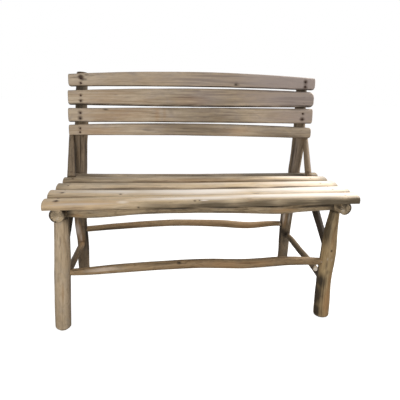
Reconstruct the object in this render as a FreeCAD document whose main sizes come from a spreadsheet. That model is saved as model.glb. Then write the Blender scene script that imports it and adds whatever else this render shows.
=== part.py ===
import FreeCAD, Part
import os
import Sketcher

# A rustic log bench: half-round slats nailed on a frame of round logs with driven round tenons.
# Millimetres. The origin is on the floor under the middle of the bench, X runs along the bench,
# Y runs to the back and Z is up. Left is the -X side, as seen from in front.

doc = FreeCAD.newDocument("log_bench")
sizes = doc.addObject("Spreadsheet::Sheet", "sizes")
V = FreeCAD.Vector
SIDES = {"left": -1, "right": 1}
SLATS = range(1, 6)
BACK_SLATS = range(1, 5)

DRIVING_SIZES = {
    # overall
    "bench_length": 1008,
    "bench_depth": 535,
    # round side rails, which the seat slats lie on
    "left_rail_radius": 22.5,
    "right_rail_radius": 20,
    "left_rail_front_spread": 463,
    "right_rail_front_spread": 455,
    "left_rail_front_height": 427.5,
    "right_rail_front_height": 434,
    "left_rail_rear_height": 430,
    "right_rail_rear_height": 432,
    "rail_setback": 11,
    "rail_tenon_radius": 11,
    "rail_tenon_reach": 8,
    # crooked rear posts, from the floor past the seat to the top of the back
    "left_post_radius": 23,
    "right_post_radius": 22.5,
    "left_post_foot_spread": 467,
    "right_post_foot_spread": 443,
    "left_post_seat_spread": 445,
    "right_post_seat_spread": 420,
    "left_post_top_spread": 423,
    "right_post_top_spread": 431,
    "left_post_height": 838,
    "right_post_height": 834,
    "post_seat_room": 398.5,
    "post_recline": 45,
    # front legs, which stand under the side rails
    "leg_radius": 26,
    "left_leg_foot_spread": 479,
    "right_leg_foot_spread": 444,
    "leg_setback": 65.5,
    "leg_cope_drop": 8,
    "leg_tenon_radius": 9,
    "leg_tenon_reach": 3,
    # poles that run along the bench
    "front_rail_radius": 19.5,
    "front_rail_setback": 62,
    "front_rail_left_height": 424,
    "front_rail_right_height": 431,
    "front_rail_stub": 9,
    "rear_rail_radius": 18,
    "rear_rail_height": 396,
    "front_stretcher_radius": 14,
    "front_stretcher_left_height": 212,
    "front_stretcher_right_height": 219,
    "rear_stretcher_radius": 13,
    "rear_stretcher_left_height": 214,
    "rear_stretcher_right_height": 219,
    # poles that run from front to back, low down
    "side_stretcher_radius": 12,
    "left_side_stretcher_front_height": 168,
    "right_side_stretcher_front_height": 161,
    "left_side_stretcher_rear_height": 151,
    "right_side_stretcher_rear_height": 167,
    # round tenons of the poles
    "pole_tenon_radius": 8,
    "pole_tenon_reach": 4,
    # knee braces from the front legs up to the side rails
    "knee_brace_radius": 12,
    "knee_brace_drop": 198,
    "knee_brace_reach": 189,
    # struts from the seat up to the outside of the posts
    "strut_radius": 12,
    "strut_foot_outset": 12.5,
    "strut_foot_reach": 94,
    "strut_foot_depth": 7,
    "strut_top_height": 645,
    "strut_top_back": 7,
    "strut_scarf": 2.5,
    "strut_nail_height": 628,
    # seat slats, from the front: width, thickness and how far each end stops short
    "slat_gap": 4,
    "slat_edge": 6,
    "slat_end_round": 4,
    "slat_bed": 1.5,
    "slat_width_1": 72,
    "slat_width_2": 82,
    "slat_width_3": 78,
    "slat_width_4": 66,
    "slat_width_5": 56,
    "slat_thickness_1": 24,
    "slat_thickness_2": 26,
    "slat_thickness_3": 26,
    "slat_thickness_4": 26.5,
    "slat_thickness_5": 26,
    "slat_left_inset_1": 0,
    "slat_left_inset_2": 1.5,
    "slat_left_inset_3": 11,
    "slat_left_inset_4": 19,
    "slat_left_inset_5": 23,
    "slat_right_inset_1": 0,
    "slat_right_inset_2": 0,
    "slat_right_inset_3": 4,
    "slat_right_inset_4": 7,
    "slat_right_inset_5": 16,
    # back slats, from the top: heights above the floor of the lower and upper edges at the
    # left end, the middle and the right end, then thickness and the spread of each end
    "back_left_low_1": 788,
    "back_middle_low_1": 798,
    "back_right_low_1": 796,
    "back_left_high_1": 832,
    "back_middle_high_1": 852,
    "back_right_high_1": 841,
    "back_left_low_2": 723,
    "back_middle_low_2": 724,
    "back_right_low_2": 731,
    "back_left_high_2": 774,
    "back_middle_high_2": 792,
    "back_right_high_2": 789,
    "back_left_low_3": 661,
    "back_middle_low_3": 665,
    "back_right_low_3": 667,
    "back_left_high_3": 711,
    "back_middle_high_3": 721,
    "back_right_high_3": 725,
    "back_left_low_4": 614,
    "back_middle_low_4": 617,
    "back_right_low_4": 610,
    "back_left_high_4": 651,
    "back_middle_high_4": 664,
    "back_right_high_4": 652,
    "back_thickness_1": 18,
    "back_thickness_2": 17,
    "back_thickness_3": 17,
    "back_thickness_4": 15,
    "back_left_spread_1": 467,
    "back_left_spread_2": 472,
    "back_left_spread_3": 474,
    "back_left_spread_4": 473.5,
    "back_right_spread_1": 469,
    "back_right_spread_2": 468,
    "back_right_spread_3": 466.5,
    "back_right_spread_4": 464.5,
    "back_edge": 9,
    "back_bed": 3.5,
    # worn ends
    "foot_bevel": 5,
    "post_top_bevel": 4,
    "rail_end_bevel": 1.5,
    # wire nails
    "nail_radius": 1.7,
    "nail_length": 50,
    "nail_point": 4,
    "nail_head_radius": 4,
    "nail_head": 1.5,
    "nail_sink": 0.5,
    "nail_clearance": 0.1,
    "nail_access": 20,
    # fits and cutting tools
    "joint_clearance": 0.3,
    "overrun": 2,
}

for line, (alias, value) in enumerate(DRIVING_SIZES.items(), start=1):
    sizes.set(f"A{line}", alias)
    sizes.set(f"B{line}", str(value))
    sizes.setAlias(f"B{line}", alias)
doc.recompute()


# Expressions

def of(alias):
    return f"sizes.{alias}"


def between(first, last, share):
    return f"(({first}) * {1 - share:.4g} + ({last}) * {share:.4g})"


def bind(thing, prop, expression):
    thing.setExpression(prop, f"{expression}")


def place(thing, x, y, z, axis=(0, 0, 1), turn="0"):
    """Bind a Placement: a point, and a turn in degrees about one axis."""
    at = f"create(<<vector>>; {x}; {y}; {z})"
    about = f"create(<<vector>>; {axis[0]}; {axis[1]}; {axis[2]})"
    bind(thing, "Placement", f"create(<<placement>>; {at}; create(<<rotation>>; {about}; {turn}))")


# Turns that aim a tool's own +Z along a direction of the bench
AIM = {
    "+X": ((0, 1, 0), "90"),
    "-X": ((0, 1, 0), "-90"),
    "+Y": ((1, 0, 0), "-90"),
    "-Y": ((1, 0, 0), "90"),
    "+Z": ((0, 0, 1), "0"),
    "-Z": ((1, 0, 0), "180"),
}

FRONT_EDGE = f"(-{of('bench_depth')} / 2)"
LEG_Y = f"({FRONT_EDGE} + {of('leg_setback')})"
FRONT_RAIL_Y = f"({FRONT_EDGE} + {of('front_rail_setback')})"
POST_SEAT_Y = f"({FRONT_EDGE} + {of('post_seat_room')})"
POST_FOOT_Y = f"({of('bench_depth')} / 2 - {of('left_post_radius')})"
POST_TOP_Y = f"({POST_SEAT_Y} + {of('post_recline')})"
RAIL_FRONT_Y = f"({FRONT_EDGE} + {of('rail_setback')})"


def rail_share(y):
    """How far along a side rail a place is, from its front end to the post."""
    return f"(({y} - {RAIL_FRONT_Y}) / ({POST_SEAT_Y} - {RAIL_FRONT_Y}))"


def rail_x(side, y):
    front, rear = of(f"{side}_rail_front_spread"), of(f"{side}_post_seat_spread")
    return f"({SIDES[side]} * ({front} + ({rear} - {front}) * {rail_share(y)}))"


def rail_z(side, y):
    front, rear = of(f"{side}_rail_front_height"), of(f"{side}_rail_rear_height")
    return f"({front} + ({rear} - {front}) * {rail_share(y)})"


def leg_x(side, height):
    """X of a front leg's axis: its top is under the rail's axis, its foot has its own spread."""
    foot = f"({SIDES[side]} * {of(f'{side}_leg_foot_spread')})"
    return f"({foot} + ({rail_x(side, LEG_Y)} - {foot}) * {height} / {rail_z(side, LEG_Y)})"


def post_low_share(side, height):
    """How far up a height is between the post's bevelled foot and its bend at the seat."""
    foot, seat = of("foot_bevel"), of(f"{side}_rail_rear_height")
    return f"(({height} - {foot}) / ({seat} - {foot}))"


def post_low_x(side, height):
    foot, seat = of(f"{side}_post_foot_spread"), of(f"{side}_post_seat_spread")
    return f"({SIDES[side]} * ({foot} + ({seat} - {foot}) * {post_low_share(side, height)}))"


def post_low_y(side, height):
    return f"({POST_FOOT_Y} + ({POST_SEAT_Y} - {POST_FOOT_Y}) * {post_low_share(side, height)})"


def post_high_share(side, height):
    seat, top = of(f"{side}_rail_rear_height"), of(f"{side}_post_height")
    return f"(({height} - {seat}) / ({top} - {seat}))"


def post_high_x(side, height):
    seat, top = of(f"{side}_post_seat_spread"), of(f"{side}_post_top_spread")
    return f"({SIDES[side]} * ({seat} + ({top} - {seat}) * {post_high_share(side, height)}))"


def post_high_y(side, height):
    return f"({POST_SEAT_Y} + {of('post_recline')} * {post_high_share(side, height)})"


# Shapes shared by the pieces

def ring(name, x, y, z, radius, axis, turn):
    circle = doc.addObject("Part::Circle", name)
    bind(circle, "Radius", radius)
    place(circle, x, y, z, axis, turn)
    return circle


LOFT_DEGREE = 2


def log_through(name, rings):
    """A log's surface; the low degree keeps it from swinging wide between far-apart rings."""
    loft = doc.addObject("Part::Loft", name)
    loft.Sections = rings
    loft.Solid = True
    loft.Ruled = False
    loft.MaxDegree = LOFT_DEGREE
    return loft


def rod(name, radius, length, x, y, z, aim):
    cylinder = doc.addObject("Part::Cylinder", name)
    bind(cylinder, "Radius", radius)
    bind(cylinder, "Height", length)
    place(cylinder, x, y, z, *AIM[aim])
    return cylinder


def bevel(name, wide, narrow, length, x, y, z, aim):
    """A worn end: a short cone from the log's last ring to its end."""
    cone = doc.addObject("Part::Cone", name)
    bind(cone, "Radius1", wide)
    bind(cone, "Radius2", narrow)
    bind(cone, "Height", length)
    place(cone, x, y, z, *AIM[aim])
    return cone


def fused(name, pieces):
    whole = doc.addObject("Part::MultiFuse", name)
    whole.Shapes = pieces
    return whole


def grouped(name, pieces):
    group = doc.addObject("Part::Compound", name)
    group.Links = pieces
    return group


def cut(name, piece, tools):
    """Take the tools off a piece, one after another."""
    for number, tool in enumerate(tools, start=1):
        trimmed = doc.addObject("Part::Cut", f"{name}_cut_{number}")
        trimmed.Base = piece
        trimmed.Tool = tool
        piece = trimmed
    return piece


def shifted(point, amount, aim):
    """A point moved along one of the bench's directions."""
    moved = list(point)
    moved["XYZ".index(aim[1])] = f"({point['XYZ'.index(aim[1])]} {aim[0]} {amount})"
    return moved


def tenon_and_mortise(name, radius, reach, root, point, aim):
    """A round tenon that runs past a point on the receiving log's axis, and the bore for it."""
    start = shifted(point, f"(-{root})", aim)
    slack = of("joint_clearance")
    tenon = rod(f"{name}_tenon", radius, f"{root} + {reach}", *start, aim)
    bore = rod(f"{name}_mortise", f"{radius} + {slack}", f"{root} + {reach} + {slack}", *start, aim)
    return tenon, bore


# Nails: a wire nail, and the bore with an open way to its head that the wood gets

def turned_body(name, points):
    """A body turned about its own Z from (radius, height) expressions; heights are negative."""
    body = doc.addObject("PartDesign::Body", name)
    plane = next(f for f in body.Origin.OriginFeatures if f.Role == "XZ_Plane")
    sketch = body.newObject("Sketcher::SketchObject", f"{name}_profile")
    sketch.AttachmentSupport = [(plane, "")]
    sketch.MapMode = "FlatFace"
    count = len(points)
    for corner in range(count):
        sketch.addGeometry(Part.LineSegment(V(corner, corner, 0), V(corner + 1, corner, 0)), False)
    for corner, (radius, height) in enumerate(points):
        following = (corner + 1) % count
        sketch.addConstraint(Sketcher.Constraint("Coincident", corner, 2, following, 1))
        for kind, expression in (("DistanceX", radius), ("DistanceY", height)):
            number = sketch.addConstraint(Sketcher.Constraint(kind, -1, 1, corner, 1, 1.0))
            sketch.setExpression(f"Constraints[{number}]", expression)
    turning = body.newObject("PartDesign::Revolution", f"{name}_turning")
    turning.Profile = sketch
    turning.ReferenceAxis = (sketch, ["V_Axis"])
    turning.Angle = 360
    return body


NAIL_POINTS = [
    ("0", "0"),
    (of("nail_head_radius"), "0"),
    (of("nail_head_radius"), f"-{of('nail_head')}"),
    (of("nail_radius"), f"-{of('nail_head')}"),
    (of("nail_radius"), f"-({of('nail_length')} - {of('nail_point')})"),
    ("0", f"-{of('nail_length')}"),
]
HEAD_BORE = f"({of('nail_head_radius')} + {of('nail_clearance')})"
SHANK_BORE = f"({of('nail_radius')} + {of('nail_clearance')})"
BORE_END = f"-({of('nail_length')} + {of('nail_clearance')})"
HEAD_SEAT = f"-({of('nail_head')} + {of('nail_clearance')})"
BORE_POINTS = [
    ("0", of("nail_access")),
    (HEAD_BORE, of("nail_access")),
    (HEAD_BORE, HEAD_SEAT),
    (SHANK_BORE, HEAD_SEAT),
    (SHANK_BORE, BORE_END),
    ("0", BORE_END),
]
nail = turned_body("nail", NAIL_POINTS)
nail_bore = turned_body("nail_bore", BORE_POINTS)


def nailed(name, spots):
    """Nails at (x, y, z, axis, turn): z is the head's top, and the nail's own Z points out of the wood."""
    nails = []
    bores = []
    for number, (x, y, z, axis, turn) in enumerate(spots, start=1):
        for source, copies, label in ((nail, nails, "nail"), (nail_bore, bores, "bore")):
            copy = doc.addObject("App::Link", f"{name}_{label}_{number}")
            copy.LinkedObject = source
            place(copy, x, y, z, axis, turn)
            copies.append(copy)
    return grouped(name, nails), grouped(f"{name}_bores", bores)


# Log blanks. Each station is shares of the log's length, and of its radius for the sideways
# and upward crook and for the girth.

LEFT_POST_LOW_SHARES = [(0, 0, 1.0), (0.165, 0.04, 1.04), (0.31, 0.08, 1.0), (0.575, 0.38, 1.06), (0.8, 0.3, 1.02)]
RIGHT_POST_LOW_SHARES = [(0, 0, 1.0), (0.165, -0.08, 1.0), (0.34, -0.23, 1.02), (0.58, -0.34, 1.06), (0.8, -0.25, 1.04)]
LEFT_POST_HIGH_SHARES = [
    (0, 0.04, 1.0), (0.12, -0.04, 0.97), (0.4, 0.1, 1.03), (0.55, 0.0, 1.05), (0.7, 0.08, 0.93), (0.87, 0.05, 0.92),
    (1, 0, 0.86),
]
RIGHT_POST_HIGH_SHARES = [
    (0, 0, 1.03), (0.11, -0.12, 1.05), (0.215, 0.03, 1.06), (0.42, 0.13, 1.03), (0.56, 0.17, 0.99), (0.73, 0.09, 0.97),
    (0.9, 0.03, 0.94), (1, 0, 0.9),
]
POST_SHARES = {
    "left": (LEFT_POST_LOW_SHARES, LEFT_POST_HIGH_SHARES),
    "right": (RIGHT_POST_LOW_SHARES, RIGHT_POST_HIGH_SHARES),
}
LEG_SHARES = {
    "left": [(0, 0, 1.0), (0.33, 0, 1.0), (0.6, -0.08, 1.0), (0.8, -0.1, 0.93), (1, -0.05, 0.87)],
    "right": [(0, 0, 1.07), (0.37, -0.31, 1.0), (0.59, -0.18, 0.985), (0.75, -0.25, 0.9), (1, -0.04, 0.87)],
}
RAIL_SHARES = {
    "left": [(0, 0, 0, 1.0), (0.3, 0.08, 0, 1.0), (0.65, -0.06, 0, 0.98), (1, 0, 0, 0.97)],
    "right": [(0, 0, 0, 1.0), (0.3, -0.08, 0, 1.0), (0.65, 0.1, 0, 0.98), (1, 0, 0, 0.98)],
}
FRONT_RAIL_SHARES = [
    (0, 0, 0, 0.85), (0.09, 0, -0.13, 1.08), (0.28, 0.1, 0.1, 0.95), (0.48, 0, 0.1, 0.92), (0.65, -0.1, -0.05, 1.0),
    (0.78, 0, -0.23, 1.1), (0.87, 0, -0.05, 1.0), (1, 0, 0, 0.85),
]
REAR_RAIL_SHARES = [(0, 0, 0, 0.85), (0.25, 0.2, 0.1, 1.0), (0.6, -0.1, -0.1, 1.03), (1, 0, 0, 0.87)]
FRONT_STRETCHER_SHARES = [
    (0, 0, 0, 0.7), (0.05, 0, 0.05, 0.78), (0.21, 0.1, 0.5, 0.95), (0.35, 0, 0.87, 0.96), (0.5, 0, 0.95, 1.03),
    (0.67, -0.2, 0.5, 1.1), (0.83, 0, 0.7, 1.04), (1, 0, 0, 0.82),
]
REAR_STRETCHER_SHARES = [
    (0, 0, 0, 0.8), (0.21, 0.2, 0.88, 0.9), (0.43, 0.3, 1.38, 0.98), (0.56, 0, 1.2, 1.0), (0.65, 0, 0.86, 1.1),
    (0.8, 0, -0.05, 1.03), (0.93, 0, 0.3, 0.8), (1, 0, 0, 0.72),
]
SIDE_STRETCHER_SHARES = {
    "left": [(0, 0, 0, 0.75), (0.3, 0, 0, 0.92), (0.7, 0, 0.1, 1.0), (1, 0, 0, 0.98)],
    "right": [(0, 0, 0, 0.72), (0.33, 0, 0.33, 0.93), (0.55, 0, 0.15, 0.97), (0.83, 0, 0.4, 1.03), (1, 0, 0, 1.0)],
}
KNEE_BRACE_SHARES = [(0, 0, 0, 0.85), (0.4, 0.05, 0.05, 0.95), (0.7, 0, 0.1, 1.05), (1, 0, 0, 1.0)]
STRUT_SHARES = [(0, 0, 0, 1.16), (0.35, 0, 0.1, 1.08), (0.7, 0, 0.05, 0.9), (1, 0, 0, 0.7)]
STRUT_NAIL_GIRTH = 0.76


def crook(share, radius):
    return f"{share} * {radius}"


# Turns of the logs' circles, which keep the seam of each surface clear of the joints
REARWARD_SEAM_ALONG_X = ((1, 1, 1), "120")
OUTWARD_SEAM_ALONG_Y = {"left": ((0, 1, 1), "180"), "right": AIM["+Y"]}
POST_SEAM = ((0, 0, 1), "90")
LEG_SEAM = {"left": ((0, 0, 1), "225"), "right": ((0, 0, 1), "-45")}


def lying_log(name, first, last, radius, shares, seam):
    """A log along X or Y: circles square to that direction, crooked sideways and upwards."""
    axis, turn = seam
    side = 1 if seam == REARWARD_SEAM_ALONG_X else 0
    rings = []
    for number, (along, aside, lift, girth) in enumerate(shares):
        point = [between(a, b, along) for a, b in zip(first, last)]
        point[side] = f"({point[side]} + {crook(aside, radius)})"
        point[2] = f"({point[2]} + {crook(lift, radius)})"
        rings.append(ring(f"{name}_ring_{number}", *point, f"{radius} * {girth}", axis, turn))
    return log_through(f"{name}_log", rings)


def leaning_log(name, first, last, radius, shares):
    """A log in a plane across the bench, from a low front end to a high rear end."""
    run, rise = f"({last[1]} - {first[1]})", f"({last[2]} - {first[2]})"
    turn = f"-atan({run} / {rise})"
    rings = []
    for number, (along, aside, back, girth) in enumerate(shares):
        x, y, z = (between(a, b, along) for a, b in zip(first, last))
        x = f"({x} + {crook(aside, radius)})"
        y = f"({y} + {crook(back, radius)})"
        rings.append(ring(f"{name}_ring_{number}", x, y, z, f"{radius} * {girth}", (1, 0, 0), turn))
    return log_through(f"{name}_log", rings)


def post_blank(side):
    """A crooked log: its foot splays back, and it reclines above the seat."""
    radius = of(f"{side}_post_radius")
    knee, top = of(f"{side}_rail_rear_height"), of(f"{side}_post_height")
    low_shares, high_shares = POST_SHARES[side]
    worn, top_worn = of("foot_bevel"), of("post_top_bevel")
    stations = []
    for share, outward, girth in low_shares:
        height = between(worn, knee, share)
        stations.append((post_low_x(side, height), post_low_y(side, height), height, outward, girth))
    for share, outward, girth in high_shares:
        height = between(knee, f"({top} - {top_worn})", share)
        stations.append((post_high_x(side, height), post_high_y(side, height), height, outward, girth))
    rings = []
    for number, (x, y, z, outward, girth) in enumerate(stations):
        x = f"({x} + {SIDES[side]} * {crook(outward, radius)})"
        rings.append(ring(f"{side}_post_ring_{number}", x, y, z, f"{radius} * {girth}", *POST_SEAM))
    log = log_through(f"{side}_post_log", rings)
    first, last = stations[0], stations[-1]
    foot_radius, top_radius = f"({radius} * {first[4]})", f"({radius} * {last[4]})"
    foot = bevel(f"{side}_post_foot", foot_radius, f"{foot_radius} - {worn}", worn, *first[:3], "-Z")
    crown = bevel(f"{side}_post_crown", top_radius, f"{top_radius} - {top_worn}", top_worn, *last[:3], "+Z")
    return fused(f"{side}_post_blank", [log, foot, crown])


def leg_blank(side):
    """A front leg, up to a little below the axis of the rail that lies in its coped top."""
    radius, worn = of("leg_radius"), of("foot_bevel")
    top = f"({rail_z(side, LEG_Y)} - {of('leg_cope_drop')})"
    rings = []
    for number, (share, outward, girth) in enumerate(LEG_SHARES[side]):
        height = between(worn, top, share)
        x = f"({leg_x(side, height)} + {SIDES[side]} * {crook(outward, radius)})"
        rings.append(ring(f"{side}_leg_ring_{number}", x, LEG_Y, height, f"{radius} * {girth}", *LEG_SEAM[side]))
    log = log_through(f"{side}_leg_log", rings)
    foot_radius = f"({radius} * {LEG_SHARES[side][0][2]})"
    foot = bevel(f"{side}_leg_foot", foot_radius, f"{foot_radius} - {worn}", worn, leg_x(side, worn), LEG_Y, worn, "-Z")
    return fused(f"{side}_leg_blank", [log, foot])


def rail_blank(side):
    """A side rail with a sawn front end, up to the post's axis."""
    radius, worn = of(f"{side}_rail_radius"), of("rail_end_bevel")
    start = f"({RAIL_FRONT_Y} + {worn})"
    first = (rail_x(side, start), start, rail_z(side, start))
    last = (rail_x(side, POST_SEAT_Y), POST_SEAT_Y, rail_z(side, POST_SEAT_Y))
    log = lying_log(f"{side}_rail", first, last, radius, RAIL_SHARES[side], OUTWARD_SEAM_ALONG_Y[side])
    sawn = bevel(f"{side}_rail_end", radius, f"{radius} - {worn}", worn, *first, "-Y")
    return fused(f"{side}_rail_blank", [log, sawn])


post_blanks = {side: post_blank(side) for side in SIDES}
leg_blanks = {side: leg_blank(side) for side in SIDES}
rail_blanks = {side: rail_blank(side) for side in SIDES}


# Seat slats: half-round, flat side down, let a little into the two side rails

def slat_front(number):
    widths = " + ".join([FRONT_EDGE] + [f"{of(f'slat_width_{n}')} + {of('slat_gap')}" for n in range(1, number)])
    return f"({widths})"


def slat_middle(number):
    return f"({slat_front(number)} + {of(f'slat_width_{number}')} / 2)"


def slat_under(side, y):
    return f"({rail_z(side, y)} + {of(f'{side}_rail_radius')} - {of('slat_bed')})"


def slat_roll(number):
    """The slat's slope along the bench, as rise over run between the two rails."""
    y = slat_middle(number)
    rise = f"({slat_under('right', y)} - {slat_under('left', y)})"
    return f"({rise} / ({rail_x('right', y)} - {rail_x('left', y)}))"


def slat_end(side, number):
    return f"({SIDES[side]} * ({of('bench_length')} / 2 - {of(f'slat_{side}_inset_{number}')}))"


ROUGH_WIDTH, ROUGH_EDGE, ROUGH_THICKNESS = 70, 6, 20


def split_log_section(body, name, along, low, high, edge, thick):
    """A section across a slat: a flat back from low to high, short sides and a round crown."""
    plane = next(f for f in body.Origin.OriginFeatures if f.Role == "YZ_Plane")
    sketch = body.newObject("Sketcher::SketchObject", name)
    sketch.AttachmentSupport = [(plane, "")]
    sketch.MapMode = "FlatFace"
    bind(sketch, "AttachmentOffset.Base.z", along)
    corners = [V(0, 0, 0), V(ROUGH_WIDTH, 0, 0), V(ROUGH_WIDTH, ROUGH_EDGE, 0), V(0, ROUGH_EDGE, 0)]
    top = V(ROUGH_WIDTH / 2, ROUGH_THICKNESS, 0)
    for first, last in ((0, 1), (1, 2), (3, 0)):
        sketch.addGeometry(Part.LineSegment(corners[first], corners[last]), False)
    sketch.addGeometry(Part.Arc(corners[2], top, corners[3]), False)
    sketch.addGeometry(Part.Point(top), True)
    flat, high_side, low_side, crown, crest = range(5)
    meetings = ((flat, 2, high_side, 1), (high_side, 2, crown, 1), (crown, 2, low_side, 1), (low_side, 2, flat, 1))
    for meeting in meetings:
        sketch.addConstraint(Sketcher.Constraint("Coincident", *meeting))
    sketch.addConstraint(Sketcher.Constraint("PointOnObject", crest, 1, crown))
    places = (
        (flat, 1, low, "0"),
        (flat, 2, high, "0"),
        (high_side, 2, high, edge),
        (low_side, 1, low, edge),
        (crest, 1, f"({low} + {high}) / 2", thick),
    )
    for geometry, end, across, up in places:
        for kind, expression in (("DistanceX", across), ("DistanceY", up)):
            point = sketch.getPoint(geometry, end)
            value = point.x if kind == "DistanceX" else point.y
            number = sketch.addConstraint(Sketcher.Constraint(kind, -1, 1, geometry, end, value))
            sketch.setExpression(f"Constraints[{number}]", expression)
    return sketch


def seat_slat(number):
    body = doc.addObject("PartDesign::Body", f"slat_{number}_split_log")
    width, thick = of(f"slat_width_{number}"), of(f"slat_thickness_{number}")
    section = split_log_section(body, f"slat_{number}_section", "0", "0", width, of("slat_edge"), thick)
    pad = body.newObject("PartDesign::Pad", f"slat_{number}_length")
    pad.Profile = section
    bind(pad, "Length", f"{slat_end('right', number)} - {slat_end('left', number)}")
    doc.recompute()
    arcs = [f"Edge{index}" for index, edge in enumerate(pad.Shape.Edges, start=1)
            if edge.Curve.TypeId == "Part::GeomCircle"]
    rounding = body.newObject("PartDesign::Fillet", f"slat_{number}_worn_ends")
    rounding.Base = (pad, arcs)
    bind(rounding, "Radius", of("slat_end_round"))
    body.Tip = rounding
    y, x = slat_middle(number), slat_end("left", number)
    under_end = f"({slat_under('left', y)} + {slat_roll(number)} * ({x} - {rail_x('left', y)}))"
    place(body, x, slat_front(number), under_end, (0, 1, 0), f"-atan({slat_roll(number)})")
    return body


SEAT_NAIL_SHARE = 0.18
slat_logs = {number: seat_slat(number) for number in SLATS}


def seat_nail_spots(side):
    spots = []
    for number in SLATS:
        width, thick, edge = of(f"slat_width_{number}"), of(f"slat_thickness_{number}"), of("slat_edge")
        crown_drop = f"(({thick} - {edge}) * {(2 * SEAT_NAIL_SHARE) ** 2:.4g})"
        for step in (-1, 1):
            y = f"({slat_middle(number)} + {step} * {SEAT_NAIL_SHARE} * {width})"
            top = f"({slat_under(side, slat_middle(number))} + {thick} - {crown_drop} - {of('nail_sink')})"
            spots.append((rail_x(side, y), y, top, (0, 0, 1), "0"))
    return spots


seat_nails = {side: nailed(f"seat_nails_{side}", seat_nail_spots(side)) for side in SIDES}


# Back slats: split logs with a flat back, on flats cut on the reclined posts

BACK_RISE = f"({of('left_post_height')} - {of('left_rail_rear_height')})"
RECLINE = f"atan({of('post_recline')} / {BACK_RISE})"
NAIL_DIP = f"atan({BACK_RISE} / {of('post_recline')})"
BACK_DROP = f"(({of('left_post_radius')} - {of('back_bed')}) / cos({RECLINE}))"


def up_the_back(height):
    """Distance up the reclined back from the level where the posts bend."""
    return f"(({height} - {of('left_rail_rear_height')}) / cos({RECLINE}))"


def back_y(height):
    """Y of the plane of the slats' backs."""
    return f"({post_high_y('left', height)} - {BACK_DROP})"


def back_slat(number):
    """Lofted through a section at the left end, one in the middle and one at the right end."""
    body = doc.addObject("PartDesign::Body", f"back_{number}_split_log")
    span = f"({of(f'back_left_spread_{number}')} + {of(f'back_right_spread_{number}')})"
    sections = []
    for place_name, along in (("left", "0"), ("middle", f"{span} / 2"), ("right", span)):
        low = up_the_back(of(f"back_{place_name}_low_{number}"))
        high = up_the_back(of(f"back_{place_name}_high_{number}"))
        sections.append(split_log_section(
            body, f"back_{number}_{place_name}_section", along, low, high, of("back_edge"),
            of(f"back_thickness_{number}")))
    loft = body.newObject("PartDesign::AdditiveLoft", f"back_{number}_length")
    loft.Profile = sections[0]
    loft.Sections = sections[1:]
    body.Tip = loft
    knee = of("left_rail_rear_height")
    place(body, f"-{of(f'back_left_spread_{number}')}", back_y(knee), knee, (1, 0, 0), NAIL_DIP)
    return body


back_logs = {number: back_slat(number) for number in BACK_SLATS}
BACK_NAIL_SHARE = 0.19


def back_nail_spots(side):
    spots = []
    for number in BACK_SLATS:
        low, high = of(f"back_{side}_low_{number}"), of(f"back_{side}_high_{number}")
        for step in (-1, 1):
            height = f"(({low} + {high}) / 2 + {step} * {BACK_NAIL_SHARE} * ({high} - {low}))"
            depth = f"(({of(f'back_thickness_{number}')} - {of('nail_sink')}) / cos({RECLINE}))"
            spots.append((post_high_x(side, height), f"({back_y(height)} - {depth})", height, (1, 0, 0), NAIL_DIP))
    return spots


back_nails = {side: nailed(f"back_nails_{side}", back_nail_spots(side)) for side in SIDES}


# Poles between the legs, rails and posts

def post_low_point(side, height):
    return [post_low_x(side, height), post_low_y(side, height), height]


def leg_point(side, height):
    return [leg_x(side, height), LEG_Y, height]


ROOT = f"({of('leg_radius')} + {of('pole_tenon_radius')})"


def pole(name, first, last, radius, shares, seam, trims, reach=of("pole_tenon_reach"), last_reach=None):
    """A pole with coped shoulders and a round tenon at each end; returns it and its two bores."""
    blank = lying_log(name, first, last, radius, shares, seam)
    coped = cut(f"{name}_coped", blank, trims)
    axis = "X" if seam == REARWARD_SEAM_ALONG_X else "Y"
    thin = of("pole_tenon_radius")
    first_tenon, first_bore = tenon_and_mortise(f"{name}_first", thin, reach, ROOT, first, f"-{axis}")
    last_tenon, last_bore = tenon_and_mortise(f"{name}_last", thin, last_reach or reach, ROOT, last, f"+{axis}")
    whole = fused(name, [coped, first_tenon, last_tenon])
    return whole, first_bore, last_bore


FRONT_RAIL_REACH = {side: f"({of('front_rail_stub')} - {of(f'{side}_rail_radius')})" for side in SIDES}
front_rail, front_rail_left_bore, front_rail_right_bore = pole(
    "front_rail",
    [rail_x("left", FRONT_RAIL_Y), FRONT_RAIL_Y, of("front_rail_left_height")],
    [rail_x("right", FRONT_RAIL_Y), FRONT_RAIL_Y, of("front_rail_right_height")],
    of("front_rail_radius"), FRONT_RAIL_SHARES, REARWARD_SEAM_ALONG_X,
    [rail_blanks["left"], rail_blanks["right"], leg_blanks["left"], leg_blanks["right"]],
    FRONT_RAIL_REACH["left"], FRONT_RAIL_REACH["right"])
rear_rail, rear_rail_left_bore, rear_rail_right_bore = pole(
    "rear_rail", post_low_point("left", of("rear_rail_height")), post_low_point("right", of("rear_rail_height")),
    of("rear_rail_radius"), REAR_RAIL_SHARES, REARWARD_SEAM_ALONG_X, [post_blanks["left"], post_blanks["right"]])
front_stretcher, front_stretcher_left_bore, front_stretcher_right_bore = pole(
    "front_stretcher", leg_point("left", of("front_stretcher_left_height")),
    leg_point("right", of("front_stretcher_right_height")),
    of("front_stretcher_radius"), FRONT_STRETCHER_SHARES, REARWARD_SEAM_ALONG_X,
    [leg_blanks["left"], leg_blanks["right"]])
rear_stretcher, rear_stretcher_left_bore, rear_stretcher_right_bore = pole(
    "rear_stretcher", post_low_point("left", of("rear_stretcher_left_height")),
    post_low_point("right", of("rear_stretcher_right_height")),
    of("rear_stretcher_radius"), REAR_STRETCHER_SHARES, REARWARD_SEAM_ALONG_X,
    [post_blanks["left"], post_blanks["right"]])
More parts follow.
